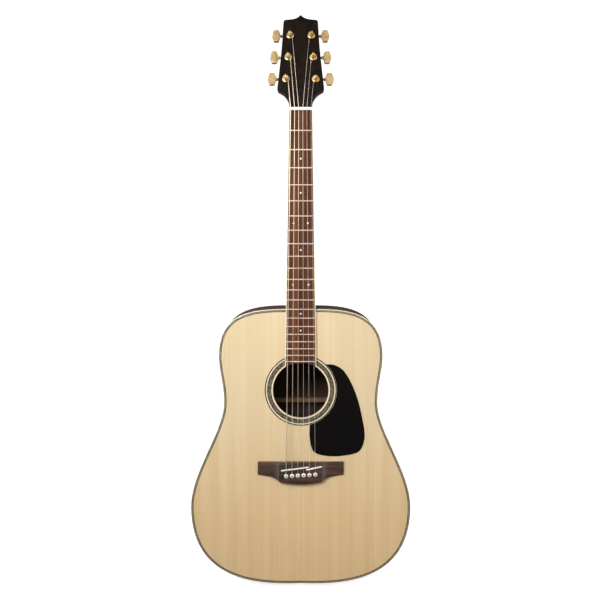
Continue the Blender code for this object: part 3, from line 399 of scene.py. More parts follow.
MAHOGANY = dark_wood("mahogany", NECK_TONES, (60, 1.6), (2500, 220), 0.3, coat=0.25, shine=0.4)
HEAD_TONES = ((0.004, 0.003, 0.0022), (0.01, 0.0062, 0.0045), (0.021, 0.0115, 0.0075))
HEAD_BLACK = dark_wood("headplate_black", HEAD_TONES, (60, 1.5), (2500, 220), 0.24, 0, 0.1, 0.000006)
# Braces on the back, darkened as painted shade for the dim inside of the body.
SHADED_BACK_BRACE_WOOD = pale_wood("back_brace_wood_painted_shade", (0.22, 0.12, 0.062), (0.15, 0.075, 0.037))
BRACE_SPRUCE = pale_wood("brace_spruce", (0.58, 0.38, 0.2), (0.45, 0.28, 0.14))
LINING_WOOD = pale_wood("lining_mahogany", (0.34, 0.18, 0.09), (0.22, 0.1, 0.05), 80, 4)
MAPLE = pale_wood("hard_maple", (0.74, 0.58, 0.38), (0.64, 0.47, 0.29), 70, 5)
IVORY = plastic("ivory_binding", (0.86, 0.745, 0.54), (0.83, 0.71, 0.5), 0.26, 0.3, 0.1)
BLACK_LINE = plastic("black_purfling", (0.012, 0.011, 0.01), (0.024, 0.021, 0.018), 0.36)
PICKGUARD = plastic("pickguard_black", (0.0042, 0.0037, 0.0036), (0.006, 0.0052, 0.005), 0.14, shine=0.08)
BONE = plastic("bone", (0.93, 0.91, 0.85), (0.87, 0.84, 0.75), 0.32, 0.1, 0.1)
PIN_PLASTIC = plastic("pin_ivory", (0.93, 0.9, 0.82), (0.88, 0.84, 0.74), 0.24, 0.3, 0.1)
GOLD = metal("gold", (0.9, 0.62, 0.25), (0.68, 0.42, 0.14), 0.22)
NICKEL = metal("fret_nickel", (0.78, 0.68, 0.6), (0.65, 0.56, 0.49), 0.42)
STEEL = metal("rod_steel", (0.55, 0.55, 0.56), (0.38, 0.37, 0.37), 0.3)
PLAIN = metal("plain_string", (0.92, 0.87, 0.82), (0.79, 0.74, 0.69), 0.4, 0, 0.6)
BRONZE = wound()
AMBER = amber_pearl()
PEARL = pearl()
MOSAIC = mosaic()

# ---------- meshes


def placed(name, data):
    """A new object in the scene."""
    made = bpy.data.objects.new(name, data)
    bpy.context.scene.collection.objects.link(made)
    return made


def solid(name, bm, materials=(), smooth=35):
    """Makes an object, shaded smooth up to that angle between faces."""
    bmesh.ops.recalc_face_normals(bm, faces=bm.faces)
    mesh = bpy.data.meshes.new(name)
    bm.to_mesh(mesh)
    bm.free()
    mesh.shade_smooth()
    mesh.set_sharp_from_angle(angle=radians(smooth))
    for one in materials:
        mesh.materials.append(one)
    return placed(name, mesh)


def finish(name, bm, materials, node=None, body="root", smooth=35, bevel=0):
    """Makes a piece that rides on a body, and stands for a CAD node if one is named."""
    piece = solid(name, bm, materials, smooth)
    if bevel:
        rounding = piece.modifiers.new("rounding", "BEVEL")
        rounding.width = bevel
        rounding.segments = 3
        rounding.limit_method = "ANGLE"
        rounding.angle_limit = radians(smooth)
        rounding.harden_normals = True
    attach(piece, body)
    if node:
        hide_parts(node)


def loft(sections, marks=None, closed=False, bands=None):
    """A skin through sections of as many points each, with flat ends unless it is closed.

    marks gives each point's place on the UV map named grain, and bands each strip's material.
    """
    bm = bmesh.new()
    rings = [[bm.verts.new(point) for point in section] for section in sections]
    after = rings[1:] + rings[:1] if closed else rings[1:]
    for number, (ring, following) in enumerate(zip(rings, after)):
        for i in range(len(ring)):
            j = (i + 1) % len(ring)
            face = bm.faces.new((ring[i], ring[j], following[j], following[i]))
            face.material_index = bands[number] if bands else 0
    if not closed:
        bm.faces.new(rings[0])
        bm.faces.new(rings[-1])
    if marks:
        layer = bm.loops.layers.uv.new("grain")
        where = {vert: mark for ring, line in zip(rings, marks) for vert, mark in zip(ring, line)}
        for corner in (corner for face in bm.faces for corner in face.loops):
            corner[layer].uv = where[corner.vert]
    return bm


def arc(end, steps, start=0):
    """Evenly stepped angles from start to end."""
    return [start + (end - start) * i / steps for i in range(steps + 1)]


def circle(radius, sides):
    turn = 2 * pi / sides
    return [(radius * cos(turn * i), radius * sin(turn * i)) for i in range(sides)]


def ring(radius, y, z=0, sides=60):
    """A loop in space round a line that runs along Y."""
    return [(u, y, z + v) for u, v in circle(radius, sides)]


def turned(profile, sides, axis=(0, 0, 1), bands=None):
    """A round solid: the (radius, height) profile spun about the axis through the origin."""
    rings = [[(*point, height) for point in circle(max(radius, 1e-5), sides)] for radius, height in profile]
    turn = Vector((0, 0, 1)).rotation_difference(Vector(axis))
    return moved(loft(rings, bands=bands), turn.to_matrix().to_4x4())


def moved(bm, place):
    """Moves a shape by a vector, or by a whole matrix."""
    matrix = place if isinstance(place, Matrix) else Matrix.Translation(Vector(place))
    bmesh.ops.transform(bm, matrix=matrix, verts=bm.verts)
    return bm


def merged(*parts):
    """One bmesh that holds several closed shapes."""
    whole = bmesh.new()
    for part in parts:
        mesh = bpy.data.meshes.new("part")
        part.to_mesh(mesh)
        part.free()
        whole.from_mesh(mesh)
        bpy.data.meshes.remove(mesh)
    return whole


def carved(whole, cutter):
    """The first shape with the second cut out of it."""
    whole, cutter = solid("whole", whole), solid("cutter", cutter)
    whole.modifiers.new("cut", "BOOLEAN").object = cutter
    result = bmesh.new()
    result.from_object(whole, bpy.context.evaluated_depsgraph_get())
    for used in (whole.data, cutter.data):
        bpy.data.meshes.remove(used)
    return result


def prism(points, front, back):
    """A plate of this (x, z) outline between two planes, each a height y as a function of z."""
    return loft([[(x, face(z), z) for x, z in points] for face in (front, back)])


def box(x, y, z):
    return prism([(x[0], z[0]), (x[1], z[0]), (x[1], z[1]), (x[0], z[1])], flat(y[0]), flat(y[1]))


def flat(y):
    return lambda z: y


def below_top(depth):
    return flat(TOP_FACE + depth)


def back_face(z):
    """The back's outer face: a plane that rises from the tail to the neck."""
    return BACK_AT_TAIL + (BACK_AT_NECK - BACK_AT_TAIL) * (z - BODY_BOTTOM) / BODY_LENGTH


def behind(depth):
    return lambda z: back_face(z) - depth


def curve_point(ends, t):
    """Point and direction on the cubic curve with these four control points."""
    a, b, c, d = ends
    s = 1 - t
    point = a * s**3 + b * (3 * s * s * t) + c * (3 * s * t * t) + d * t**3
    slope = (b - a) * (s * s) + (c - b) * (2 * s * t) + (d - c) * (t * t)
    return point, slope.normalized()


def half_outline(inset=0, steps=48):
    """The body's edge on the treble side, from tail to neck, moved in by inset."""
    stops = (
        ((0, BODY_BOTTOM), (0, 0), (TAIL_HANDLE, 0)),
        (LOWER_BOUT, (0, -LOWER_BOUT_HANDLES[0]), (0, LOWER_BOUT_HANDLES[1])),
        (WAIST, (0, -WAIST_HANDLES[0]), (0, WAIST_HANDLES[1])),
        (UPPER_BOUT, (0, -UPPER_BOUT_HANDLES[0]), (0, UPPER_BOUT_HANDLES[1])),
        ((0, BODY_TOP), (NECK_HANDLE, 0), (0, 0)),
    )
    stops = [[Vector(part) for part in stop] for stop in stops]
    curves = [(a, a + out, b + into, b) for (a, _, out), (b, into, _) in zip(stops, stops[1:])]
    points = [curve_point(ends, step / steps) for ends in curves for step in range(steps)]
    points.append(curve_point(curves[-1], 1))
    return [(p.x - slope.y * inset, p.y + slope.x * inset) for p, slope in points]


def edge_loop(inset, face):
    """The body's whole edge, moved in by inset, as a loop on the plane y = face(z)."""
    half = half_outline(inset)
    return [(x, face(z), z) for x, z in half + [(-x, z) for x, z in reversed(half[1:-1])]]


def smooth_path(points, steps):
    """A curve through the points: a centripetal Catmull-Rom spline."""
    points = [Vector(p) for p in points]
    padded = [points[0] * 2 - points[1], *points, points[-1] * 2 - points[-2]]
    path = []
    for a, b, c, d in zip(padded, padded[1:], padded[2:], padded[3:]):
        gaps = [max((q - p).length, 1e-9) ** 0.5 for p, q in ((a, b), (b, c), (c, d))]
        first = (b - a) / gaps[0] - (c - a) / (gaps[0] + gaps[1]) + (c - b) / gaps[1]
        last = (c - b) / gaps[1] - (d - b) / (gaps[1] + gaps[2]) + (d - c) / gaps[2]
        ends = (b, b + first * gaps[1] / 3, c - last * gaps[1] / 3, c)
        path += [tuple(curve_point(ends, step / steps)[0]) for step in range(steps)]
    return [*path, tuple(points[-1])]


def inlay(name, loops, bands, materials, node=None):
    """A closed ring of strips, such as purfling."""
    finish(name, loft(loops, closed=True, bands=bands), materials, node, smooth=60)


# ---------- body


def make_top():
    """The soundboard, filled between its edge and the soundhole."""
    bm = bmesh.new()
    edges = []
    for loop in (edge_loop(BINDING_WIDTH, flat(TOP_FACE)), ring(HOLE_RADIUS, TOP_FACE, HOLE_Z, HOLE_SIDES)):
        verts = [bm.verts.new(point) for point in loop]
        edges += [bm.edges.new(pair) for pair in zip(verts, verts[1:] + verts[:1])]
    bmesh.ops.triangle_fill(bm, edges=edges, use_beauty=True)
    made = bmesh.ops.extrude_face_region(bm, geom=list(bm.faces))["geom"]
    for vert in (v for v in made if isinstance(v, bmesh.types.BMVert)):
        vert.co.y += PLATE
    finish("soundboard_top", bm, [SPRUCE], "soundboard", bevel=0.0003)


def make_back():
    """The back plate, bare inside, and the strip down its middle."""
    bm = loft([edge_loop(BINDING_WIDTH, behind(PLATE)), edge_loop(BINDING_WIDTH, back_face)])
    bm.faces.ensure_lookup_table()
    bm.faces[-2].material_index = 1
    finish("back_panel", bm, [ROSEWOOD, SHADED_BARE_ROSEWOOD], "back_plate")
    edges = (-0.0036, -0.003, -0.0024, -0.0018, 0.0018, 0.0024, 0.003, 0.0036)
    ends = (BODY_BOTTOM + BINDING_WIDTH + LINE, BODY_TOP - BINDING_WIDTH - LINE)
    face, depth = behind(-PROUD), 0.0008
    strips = [[(x, face(z), z) for z in ends] + [(x, face(z) - depth, z) for z in ends[::-1]] for x in edges]
    bm = loft(strips, bands=[0, 1, 0, 2, 0, 1, 0])
    finish("back_centre_strip", bm, [BLACK_LINE, IVORY, BRIDGE_WOOD], smooth=60)


def make_sides():
    """The two bent walls, each with a map of how far round the body it has come."""
    outer, inner = half_outline(), half_outline(SIDE)
    faces = (below_top(0.001), behind(0.001))
    for name, sign in HANDS:
        sections, marks, run = [], [], 0
        for number, places in enumerate(zip(outer, inner)):
            if number:
                run += dist(outer[number], outer[number - 1])
            (x0, z0), (x1, z1) = places
            corners = [(sign * x0, face(z0), z0) for face in faces]
            corners += [(sign * x1, face(z1), z1) for face in reversed(faces)]
            sections.append(corners)
            marks.append([(run + sign, y) for x, y, z in corners])
        bm = loft(sections, marks)
        finish(f"bent_side_{name}", bm, [BENT_ROSEWOOD], f"side_{name}")


def make_bindings():
    """Ivory strips with a rounded outer corner."""
    radius = 0.0009
    corner = [(radius * (1 - cos(a)), radius * (1 - sin(a))) for a in arc(pi / 2, 5)]
    profile = [(0, BINDING_DEPTH), *corner, (BINDING_WIDTH, 0), (BINDING_WIDTH, BINDING_DEPTH)]
    for name, face in (("front", below_top), ("back", behind)):
        loops = [edge_loop(inset, face(depth)) for inset, depth in profile]
        inlay(f"{name}_edge_binding", loops, None, [IVORY], node=f"binding_{name}")


def make_purflings():
    """Lines next to the bindings: five on the top, three on the back and on each edge of the sides."""
    tops = [TOP_LINES_START + run for run in (0, 0.0011, 0.0014, 0.0022, 0.0025, 0.0039)]
    backs = [BINDING_WIDTH + LINE * i for i in range(4)]
    depths = [BINDING_DEPTH + LINE * i for i in range(4)]
    lines = {}
    for name, face, insets in (("top_purfling", below_top, tops), ("back_purfling", behind, backs)):
        lines[name] = [(inset, face(-PROUD)) for inset in insets]
        lines[name] += [(inset, face(LINE)) for inset in (insets[-1], insets[0])]
    for name, face in (("side_purfling_front", below_top), ("side_purfling_back", behind)):
        lines[name] = [(-PROUD, face(depth)) for depth in depths]
        lines[name] += [(LINE, face(depth)) for depth in (depths[-1], depths[0])]
    for name, corners in lines.items():
        bands = [i % 2 for i in range(len(corners) - 3)] + [0, 0, 0]
        inlay(name, [edge_loop(*corner) for corner in corners], bands, [BLACK_LINE, IVORY])


def make_end_graft():
    """A wedge of binding between black lines, where the two sides meet at the tail."""
    inset = BINDING_DEPTH + 3 * LINE
    front, back = TOP_FACE + inset, back_face(BODY_BOTTOM) - inset
    low, high = BODY_BOTTOM - 0.0003, BODY_BOTTOM + 0.001
    strips = []
    for share in (-1, -0.9, 0.9, 1):
        wide, narrow = 0.0075 * share, 0.0055 * share
        strips.append([(wide, front, low), (narrow, back, low), (narrow, back, high), (wide, front, high)])
    finish("end_graft", loft(strips, bands=[1, 0, 1]), [IVORY, BLACK_LINE], smooth=60)


def make_rosette():
    """Rings let into the top round the soundhole."""
    radii = (0.0515, 0.0536, 0.0541, 0.0614, 0.0619, 0.0638, ROSETTE_OUTER)
    corners = [(radius, -PROUD) for radius in radii] + [(radii[-1], 0.001), (radii[0], 0.001)]
    loops = [ring(radius, TOP_FACE + depth, HOLE_Z, HOLE_SIDES) for radius, depth in corners]
    bands = [1, 0, 2, 0, 1, 0, 0, 0, 0]
    inlay("soundhole_rosette", loops, bands, [BLACK_LINE, IVORY, MOSAIC], "rosette")


def make_pickguard():
    """A thin sheet whose inner edge runs round the rosette."""
    around = [(0.0465, 0.0474), (0.057, 0.0474), (0.0676, 0.044), (0.0798, 0.0343), (0.0992, -0.0019)]
    around += [(0.1125, -0.05), (0.1172, -0.0889), (0.1085, -0.1122), (0.095, -0.1187), (0.0504, -0.1224)]
    around += [(0.024, -0.1139), (0.0165, -0.0889), (0.0164, -0.0643)]
    radius = ROSETTE_OUTER + GAP
    start, end = (atan2(z, x) for x, z in (around[-1], around[0]))
    path = smooth_path(around, 12)[1:-1] + [(radius * cos(a), radius * sin(a)) for a in arc(end, 60, start)]
    bm = prism([(x, HOLE_Z + z) for x, z in path], below_top(-GUARD_THICKNESS), below_top(0.0001))
    finish("pickguard_sheet", bm, [PICKGUARD], "pickguard", bevel=0.0005)


# ---------- bridge and saddles


def bridge_height(x):
    """Flat in the middle, then scooped down to thin wings."""
    past = min(max((abs(x) - BRIDGE_FLAT_HALF) / (BRIDGE_HALF - BRIDGE_FLAT_HALF), 0), 1)
    return BRIDGE_TIP_HEIGHT + (BRIDGE_HEIGHT - BRIDGE_TIP_HEIGHT) * (1 - past) ** 6


def make_bridge():
    """A sagging belly between two wings, with its long edges eased."""
    belly_half, belly_low, ease = 0.037, NUT_Z - 0.676, 0.0012
    drops = ((0.044, 0.6712), (0.052, 0.6674), (0.0645, 0.6647), (BRIDGE_HALF, 0.6623))
    wing = smooth_path([(belly_half, belly_low)] + [(x, NUT_Z - drop) for x, drop in drops], 10)
    right = [(belly_half * i / 12, belly_low - 0.0038 * (1 - (i / 12) ** 2)) for i in range(12)] + wing
    sections = []
    for x, low in [(-x, z) for x, z in reversed(right[1:])] + right:
        front = TOP_FACE - GAP - bridge_height(x)
        turn = [(ease * (1 - sin(a)), ease * (1 - cos(a))) for a in arc(pi / 2, 4)]
        upper = [(x, front + down, BRIDGE_TOP_Z - into) for down, into in turn]
        lower = [(x, front + into, low + down) for down, into in turn]
        sections.append([(x, TOP_FACE, BRIDGE_TOP_Z), *upper, *lower, (x, TOP_FACE, low)])
    finish("bridge_body", loft(sections), [BRIDGE_WOOD], "bridge", bevel=0.0005)


def string_underside(z):
    return STRING_AT_NUT - STRING_RISE * (NUT_Z - z)


def make_saddles():
    """Bone blades with a round crest that the strings touch."""
    for name, ends in (("bass", BASS_SADDLE), ("treble", TREBLE_SADDLE)):
        (x0, z0), (x1, z1) = ends
        length, half = hypot(x1 - x0, z1 - z0), SADDLE_THICKNESS / 2
        turn = Matrix.Rotation(-atan2(z1 - z0, x1 - x0), 4, "Y")
        place = Matrix.Translation(((x0 + x1) / 2, 0, (z0 + z1) / 2)) @ turn
        crest = string_underside((z0 + z1) / 2)
        sections = []
        for step in range(13):
            along = length * (step / 12 - 0.5)
            fall = 0.0008 * abs(2 * step / 12 - 1) ** 6
            crown = [(along, crest + fall + half * (1 - sin(a)), half * cos(a)) for a in arc(pi, 8)]
            sections.append([(along, SADDLE_SEAT, half), *crown, (along, SADDLE_SEAT, -half)])
        blade = moved(loft(sections), place)
        finish(f"{name}_saddle_blade", blade, [BONE], f"saddle_{name}", bevel=0.0002)


def pin_places():
    first, last = PIN_ROW
    return [((i / 5 - 0.5) * SADDLE_SPREAD, first + (last - first) * (i / 5)) for i in range(6)]


def make_bridge_pins():
    """Domed pins with a collar and a black dot let into the head."""
    head, shank = PIN_HEAD_RADIUS, PIN_SHANK_RADIUS
    profile = [(0, -0.021), (shank * 0.8, -0.021), (shank, -0.006), (shank, GAP)]
    profile += [(head * 0.86, GAP), (head * 0.97, 0.0007)]
    profile += [(head * cos(a), 0.0014 + 0.0022 * sin(a)) for a in arc(pi / 2, 7)[:5]]
    profile += [(0.0014, 0.0034), (0.00135, 0.00352), (0.0009, 0.00358), (0, 0.0036)]
    bands = [0] * (len(profile) - 4) + [1] * 3
    for number, (x, z) in enumerate(pin_places(), 1):
        pin = turned(profile, 32, (0, -1, 0), bands)
        pin.faces.ensure_lookup_table()
        pin.faces[-1].material_index = 1
        pin = moved(pin, (x, BRIDGE_FACE, z))
        finish(f"pin_{number}", pin, [PIN_PLASTIC, BLACK_LINE], f"bridge_pin_{number}")


# ---------- fretboard and nut


def fret_z(number):
    return NUT_Z - SCALE_LENGTH * (1 - 2 ** (-number / 12))


def board_half(z):
    """Half the width of the fretboard with its bindings."""
    return (NUT_WIDTH + (BOARD_END_WIDTH - NUT_WIDTH) * (NUT_Z - z) / (NUT_Z - fret_z(FRETS))) / 2


def board_y(x):
    """The fretboard's playing face, curved across."""
    return BOARD_FACE + x * x / (2 * BOARD_CURVE)


def board_strip(insets, steps=10):
    """Part of the board. insets holds each column's signed share of the half width less a distance."""
    sections = []
    for t in (step / steps for step in range(steps + 1)):
        top, bottom = [], []
        for share, less in insets:
            near = share * (board_half(BOARD_TOP) - less)
            far = share * (board_half(HOLE_Z + BOARD_ARC) - less)
            end = HOLE_Z + sqrt(BOARD_ARC**2 - far**2)
            x, z = near + (far - near) * t, BOARD_TOP + (end - BOARD_TOP) * t
            top.append((x, board_y(x), z))
            bottom.append((x, TOP_FACE, z))
        sections.append(top + bottom[::-1])
    return loft(sections)


def make_fretboard():
    columns = [(i / 8 - 1, BOARD_BINDING) for i in range(17)]
    finish("board_wood", board_strip(columns), [BOARD_WOOD], "fretboard")
    for name, sign in HANDS:
        strip = board_strip([(sign, BOARD_BINDING), (sign, 0.0005), (sign, 0)])
        node = f"fretboard_binding_{name}"
        finish(f"board_binding_{name}", strip, [IVORY], node, bevel=0.0003)


def fret_wire(z):
    """A fret bent to the board, with a round crown and eased ends."""
    half, wide = board_half(z) - 0.0002, FRET_WIDTH / 2
    reach = [0, 0.0006] + [half * i / 8 for i in range(1, 16)] + [2 * half - 0.0006, 2 * half]
    sections = []
    for run in reach:
        x = run - half
        rise = FRET_HEIGHT * (0.35 if run in (reach[0], reach[-1]) else 1)
        crown = [(x, board_y(x) - rise * sin(a), z + wide * cos(a)) for a in arc(pi, 8)]
        low = board_y(x) + 0.0004
        sections.append([(x, low, z + wide), *crown, (x, low, z - wide)])
    return loft(sections)


def dot(x, z, radius):
    """A round inlay that follows the board's curve."""
    rim = [(x + u, z + v) for u, v in circle(radius, 28)]
    return loft([[(u, board_y(u) + depth, v) for u, v in rim] for depth in (-PROUD, 0.001)])


def make_frets_and_dots():
    frets = merged(*[fret_wire(fret_z(number)) for number in range(1, FRETS + 1)])
    finish("fret_wires", frets, [NICKEL], smooth=50)
    middles = {n: (fret_z(n) + fret_z(n - 1)) / 2 for n in range(1, FRETS + 1)}
    faces = [dot(0, middles[n], DOT_RADIUS) for n in SINGLE_DOTS]
    faces += [dot(side * x, middles[n], DOT_RADIUS) for n, x in DOUBLE_DOTS for side in (-1, 1)]
    finish("position_dots", merged(*faces), [PEARL], smooth=50)
    edges = []
    for n, shift in [(n, 0) for n in SINGLE_DOTS + (7,)] + [(12, -0.004), (12, 0.004)]:
        z = middles[n] + shift
        peg = turned([(0, 0), (0.0009, 0), (0.0009, 0.0008), (0, 0.0008)], 20, (1, 0, 0))
        edges.append(moved(peg, (-board_half(z) - PROUD, SIDE_DOT_Y, z)))
    finish("side_dots", merged(*edges), [BLACK_LINE], smooth=50)


def make_nut():
    """A bone nut whose top falls towards the headstock, with a slot for each string."""
    half = NUT_WIDTH / 2
    slots = [((i / 5 - 0.5) * NUT_SPREAD, radius) for i, radius in enumerate(STRING_RADII)]
    stations = [-half + 2 * half * i / 40 for i in range(41)]
    for middle, radius in slots:
        stations = [x for x in stations if abs(x - middle) > radius * 1.2]
        stations += [middle + radius * share for share in (-1.04, -1, -0.8, -0.4, 0, 0.4, 0.8, 1, 1.04)]
    sections = []
    for x in sorted(stations):
        crest = NUT_CREST + 0.0006 * abs(x / half) ** 10
        for middle, radius in slots:
            if abs(x - middle) <= radius * 1.001:
                crest = max(crest, STRING_AT_NUT - radius + sqrt(max(radius**2 - (x - middle) ** 2, 0)))
        top = ((0.0003, 0), (0, 0.0004), (0, 0.002), (0.0005, 0.0036), (0.0014, NUT_THICKNESS))
        top = [(x, crest + fall, NUT_Z + rise) for fall, rise in top]
        sections.append([(x, TOP_FACE, NUT_Z), *top, (x, TOP_FACE, NUT_Z + NUT_THICKNESS)])
    finish("slotted_nut", loft(sections), [BONE], "nut", smooth=40)


# ---------- neck and headstock


def head_side(steps=8):
    """The headstock's treble edge in its own plane, from throat to crest, as (x, z)."""
    throat = [(0.0209, HEAD_START), (0.0217, 0.0098), (0.0254, 0.0185), (0.0305, 0.0254), (0.0412, 0.0327)]
    flank = [(0.0422, 0.036), (0.0382, 0.075), (0.0343, 0.117), (0.0318, 0.16), (0.0312, 0.1665)]
    crest = [(0.029, 0.1689), (0.0129, 0.1709), (0.0047, 0.1745), (0, 0.179)]
    return [point for run in (throat, flank, crest) for point in smooth_path(run, steps)]


def rounded_section(front, back, half, power=2.1, narrowing=0, steps=40):
    """Half a rounded form from front to back, both (y, z); a high power makes it square."""
    front, back = Vector(front), Vector(back)
    section = []
    for i, angle in enumerate(arc(pi, steps)):
        down = sin(angle) ** (2 / power) if 0 < i < steps else 0
        out = abs(cos(angle)) ** (2 / power) * copysign(1, cos(angle))
        y, z = front + (back - front) * down
        section.append((out * half * (1 - narrowing * down), y, z))
    return section


def on_head(y, z):
    """A point of the headstock's plane, as (y, z) in the whole frame."""
    point = HEAD @ Vector((0, y, z))
    return point.y, point.z


def neck_back_y(z):
    """The neck's spine near the nut: level, then bending into the headstock's back."""
    level = TOP_FACE + NECK_DEPTH_NUT
    y, start = on_head(HEAD_BACK, 0)
    ramp = y + tan(HEAD_TILT) * (z - start) - level
    ease = 0.0011
    return level + ease * log1p(exp(min(ramp / ease, 60))) if ramp < 0.02 else level + ramp


def make_neck():
    """One carved form from the heel to the crest of the headstock."""
    foot, swell = BODY_TOP - 0.0008, NECK_DEPTH_HEEL
    heel = [(foot, HEEL_DEPTH), (foot + HEEL_CAP_LENGTH * 0.6, HEEL_DEPTH)]
    for a in arc(pi / 2, 32):
        z = BODY_TOP + HEEL_CAP_LENGTH + HEEL_CURVE * (1 - cos(a))
        heel.append((z, swell + (HEEL_DEPTH - swell) * (1 - sin(a))))
    sections = []
    for z, depth in heel:
        share = (depth - swell) / (HEEL_DEPTH - swell)
        back = (TOP_FACE + depth, z)
        sections.append(rounded_section((TOP_FACE, z), back, board_half(z), 2.1 + 1.9 * share, 0.45 * share))
    start = heel[-1][0]
    for share in (i / 20 for i in range(1, 21)):
        z = start + (NUT_Z - 0.004 - start) * share
        depth = swell + (NECK_DEPTH_NUT - swell) * share
        sections.append(rounded_section((TOP_FACE, z), (TOP_FACE + depth, z), board_half(z)))
    for rise, half in ((0, 0.0214), (0.0025, 0.0212), (0.0045, 0.021)):
        back = NUT_Z + rise * 0.4
        sections.append(rounded_section((TOP_FACE, NUT_Z + rise), (neck_back_y(back), back), half, 2.15))
    for half, z in head_side():
        share = min(max((z - 0.004) / 0.03, 0), 1)
        power = 2.2 + 9.8 * share * share * (3 - 2 * share)
        back_z = on_head(HEAD_BACK, z)[1]
        back = (neck_back_y(back_z), back_z)
        sections.append(rounded_section(on_head(HEADPLATE, z), back, max(half, 0.0003), power))
    finish("neck_and_head", loft(sections), [MAHOGANY], "neck", smooth=38)


def make_heel_cap():
    """A thin ivory cap on the heel's foot, over a black line."""
    half, end, low = 0.0098, BODY_TOP + HEEL_CAP_LENGTH + 0.004, BODY_TOP - 0.0005
    rim = [(half * cos(a), end - 0.008 + 0.008 * sin(a)) for a in arc(pi, 24)]
    shape = [(half, low), *rim, (-half, low)]
    sunk, seam, top = (flat(TOP_FACE + HEEL_DEPTH + rise) for rise in (-0.004, 0.0006, 0.003))
    finish("heel_cap_line", prism(shape, sunk, seam), [BLACK_LINE])
    finish("heel_cap", prism(shape, seam, top), [IVORY], bevel=0.0006)


def make_headplate():
    right = head_side()
    shape = right + [(-x, z) for x, z in reversed(right[:-1])]
    plate = moved(prism(shape, flat(0), flat(HEADPLATE + 0.0001)), HEAD)
    finish("head_veneer", plate, [HEAD_BLACK], "headplate", bevel=0.0004)


# ---------- tuning machines


def post_places():
    """The posts as (side, x, z) in the headstock's plane, from the low E round to the high E."""
    return [(-1, -x, z) for x, z in POSTS] + [(1, x, z) for x, z in reversed(POSTS)]


def case_loop(side, inset, y):
    """Rounded rectangle round the gear and the worm, at depth y."""
    inner, outer, low, high, corner = -0.0078, 0.0088, -0.0078, 0.0118, 0.0036
    centres = ((outer - corner, low + corner), (outer - corner, high - corner))
    centres += ((inner + corner, high - corner), (inner + corner, low + corner))
    points, reach = [], corner - inset
    for quarter, (x, z) in enumerate(centres):
        for a in (pi / 2 * (quarter - 1 + step / 8) for step in range(9)):
            points.append((side * (x + reach * cos(a)), y, z + reach * sin(a)))
    return points


def screw(radius, height, slot_half=0.00022):
    """A domed head with a slot cut across it, pointing back."""
    dome = [(radius, height * 0.4), (radius * 0.8, height * 0.8), (radius * 0.4, height), (0, height)]
    head = turned([(0, -0.0005), (radius, -0.0005), *dome], 24, (0, 1, 0))
    return carved(head, box((-2 * radius, 2 * radius), (height * 0.45, 2 * height), (-slot_half, slot_half)))


def hexagon(radius, bevel, y, sides=60):
    """A loop round a hexagonal nut, with its corners limited to radius less bevel."""
    flat_to_flat = radius * cos(pi / 6)
    points = []
    for a in arc(2 * pi, sides)[:-1]:
        off = (a + pi / 6) % (pi / 3) - pi / 6
        reach = min(flat_to_flat / cos(off), radius - bevel)
        points.append((reach * cos(a), y, reach * sin(a)))
    return points


def make_housing(number, side, place):
    """Cast case with its screws, boss and tab, and the washer and hexagon bushing in front."""
    rounding = ((0, HEAD_BACK), (0, 0.0212), (0.0003, 0.0227), (0.0009, 0.0237), (0.0019, HOUSING_BACK))
    case = loft([case_loop(side, inset, y) for inset, y in rounding])
    gear_screw = moved(screw(0.0036, 0.0012, 0.0004), (0, HOUSING_BACK, 0))
    boss = [(0, 0.006), (0.0034, 0.006), (0.0034, 0.0098), (0.003, 0.0108), (0.0026, 0.0112), (0, 0.0112)]
    boss = moved(turned(boss, 36, (side, 0, 0)), (0, SHAFT_Y, WORM_OFFSET))
    middle, low, radius, front = side * 0.003, -0.0105, 0.003, HEAD_BACK + 0.0016
    tab = [(middle + radius, -0.005), (middle - radius, -0.005)]
    tab += [(middle + radius * cos(a), low + radius * sin(a)) for a in arc(2 * pi, 16, pi)]
    tab = prism(tab, flat(HEAD_BACK), flat(front))
    tab_screw = moved(screw(0.0019, 0.001), (middle, front, low))
    body = moved(merged(case, gear_screw, boss, tab, tab_screw), place)
    finish(f"tuner_case_{number}", body, [GOLD], f"tuner_housing_{number}", smooth=30)
    bore, rim = 0.0036, FLANGE_RADIUS
    washer = [(bore, 0), (rim - 0.0002, 0), (rim, -0.0003), (rim - 0.0004, -0.0008), (0.0056, -0.0011)]
    washer = loft([ring(radius, y) for radius, y in washer + [(bore, -0.0011)]], closed=True)
    nut = [hexagon(0.0058, bevel, y) for bevel, y in ((0, -0.0009), (0, -0.0021), (0.0007, -0.0026))]
    nut = loft(nut + [ring(bore, -0.0026), ring(bore, -0.0009)], closed=True)
    finish(f"tuner_bushing_{number}", moved(merged(washer, nut), place), [GOLD], smooth=30)


def make_post(number, place):
    """Capstan with an eased top and a hole through it for the string."""
    radius, tip = POST_RADIUS, POST_TIP
    profile = [(0, 0.021), (0.0029, 0.021), (0.0029, -0.003), (radius, -0.0036), (radius, tip + 0.0006)]
    profile += [(radius - 0.0003, tip + 0.0002), (radius - 0.0008, tip), (0.0016, tip)]
    profile += [(0.0011, tip + 0.0005), (0, tip + 0.0006)]
    hole = moved(turned([(0.0008, -0.005), (0.0008, 0.005)], 20), (0, POST_HOLE_Y, 0))
    post = moved(carved(turned(profile, 40, (0, 1, 0)), hole), place)
    finish(f"capstan_{number}", post, [GOLD], f"tuner_post_{number}", f"post_{number}")


def knob_loop(side, share, y):
    """A barrel-shaped knob seen from the front, shrunk to share of its size."""
    tall, wide = KNOB_SIZE[2] / 2, KNOB_SIZE[0] / 2
    quarter = smooth_path([(0, 1), (0.5, 1), (0.62, 0.94), (0.93, 0.38), (1, 0.2), (1, 0)], 4)
    half = quarter + [(u, -v) for u, v in reversed(quarter[:-1])]
    whole = half + [(-u, v) for u, v in reversed(half[1:-1])]
    less = (1 - share) * wide
    return [(side * KNOB_REACH + u * (wide - less), y, v * (tall - less)) for u, v in whole]


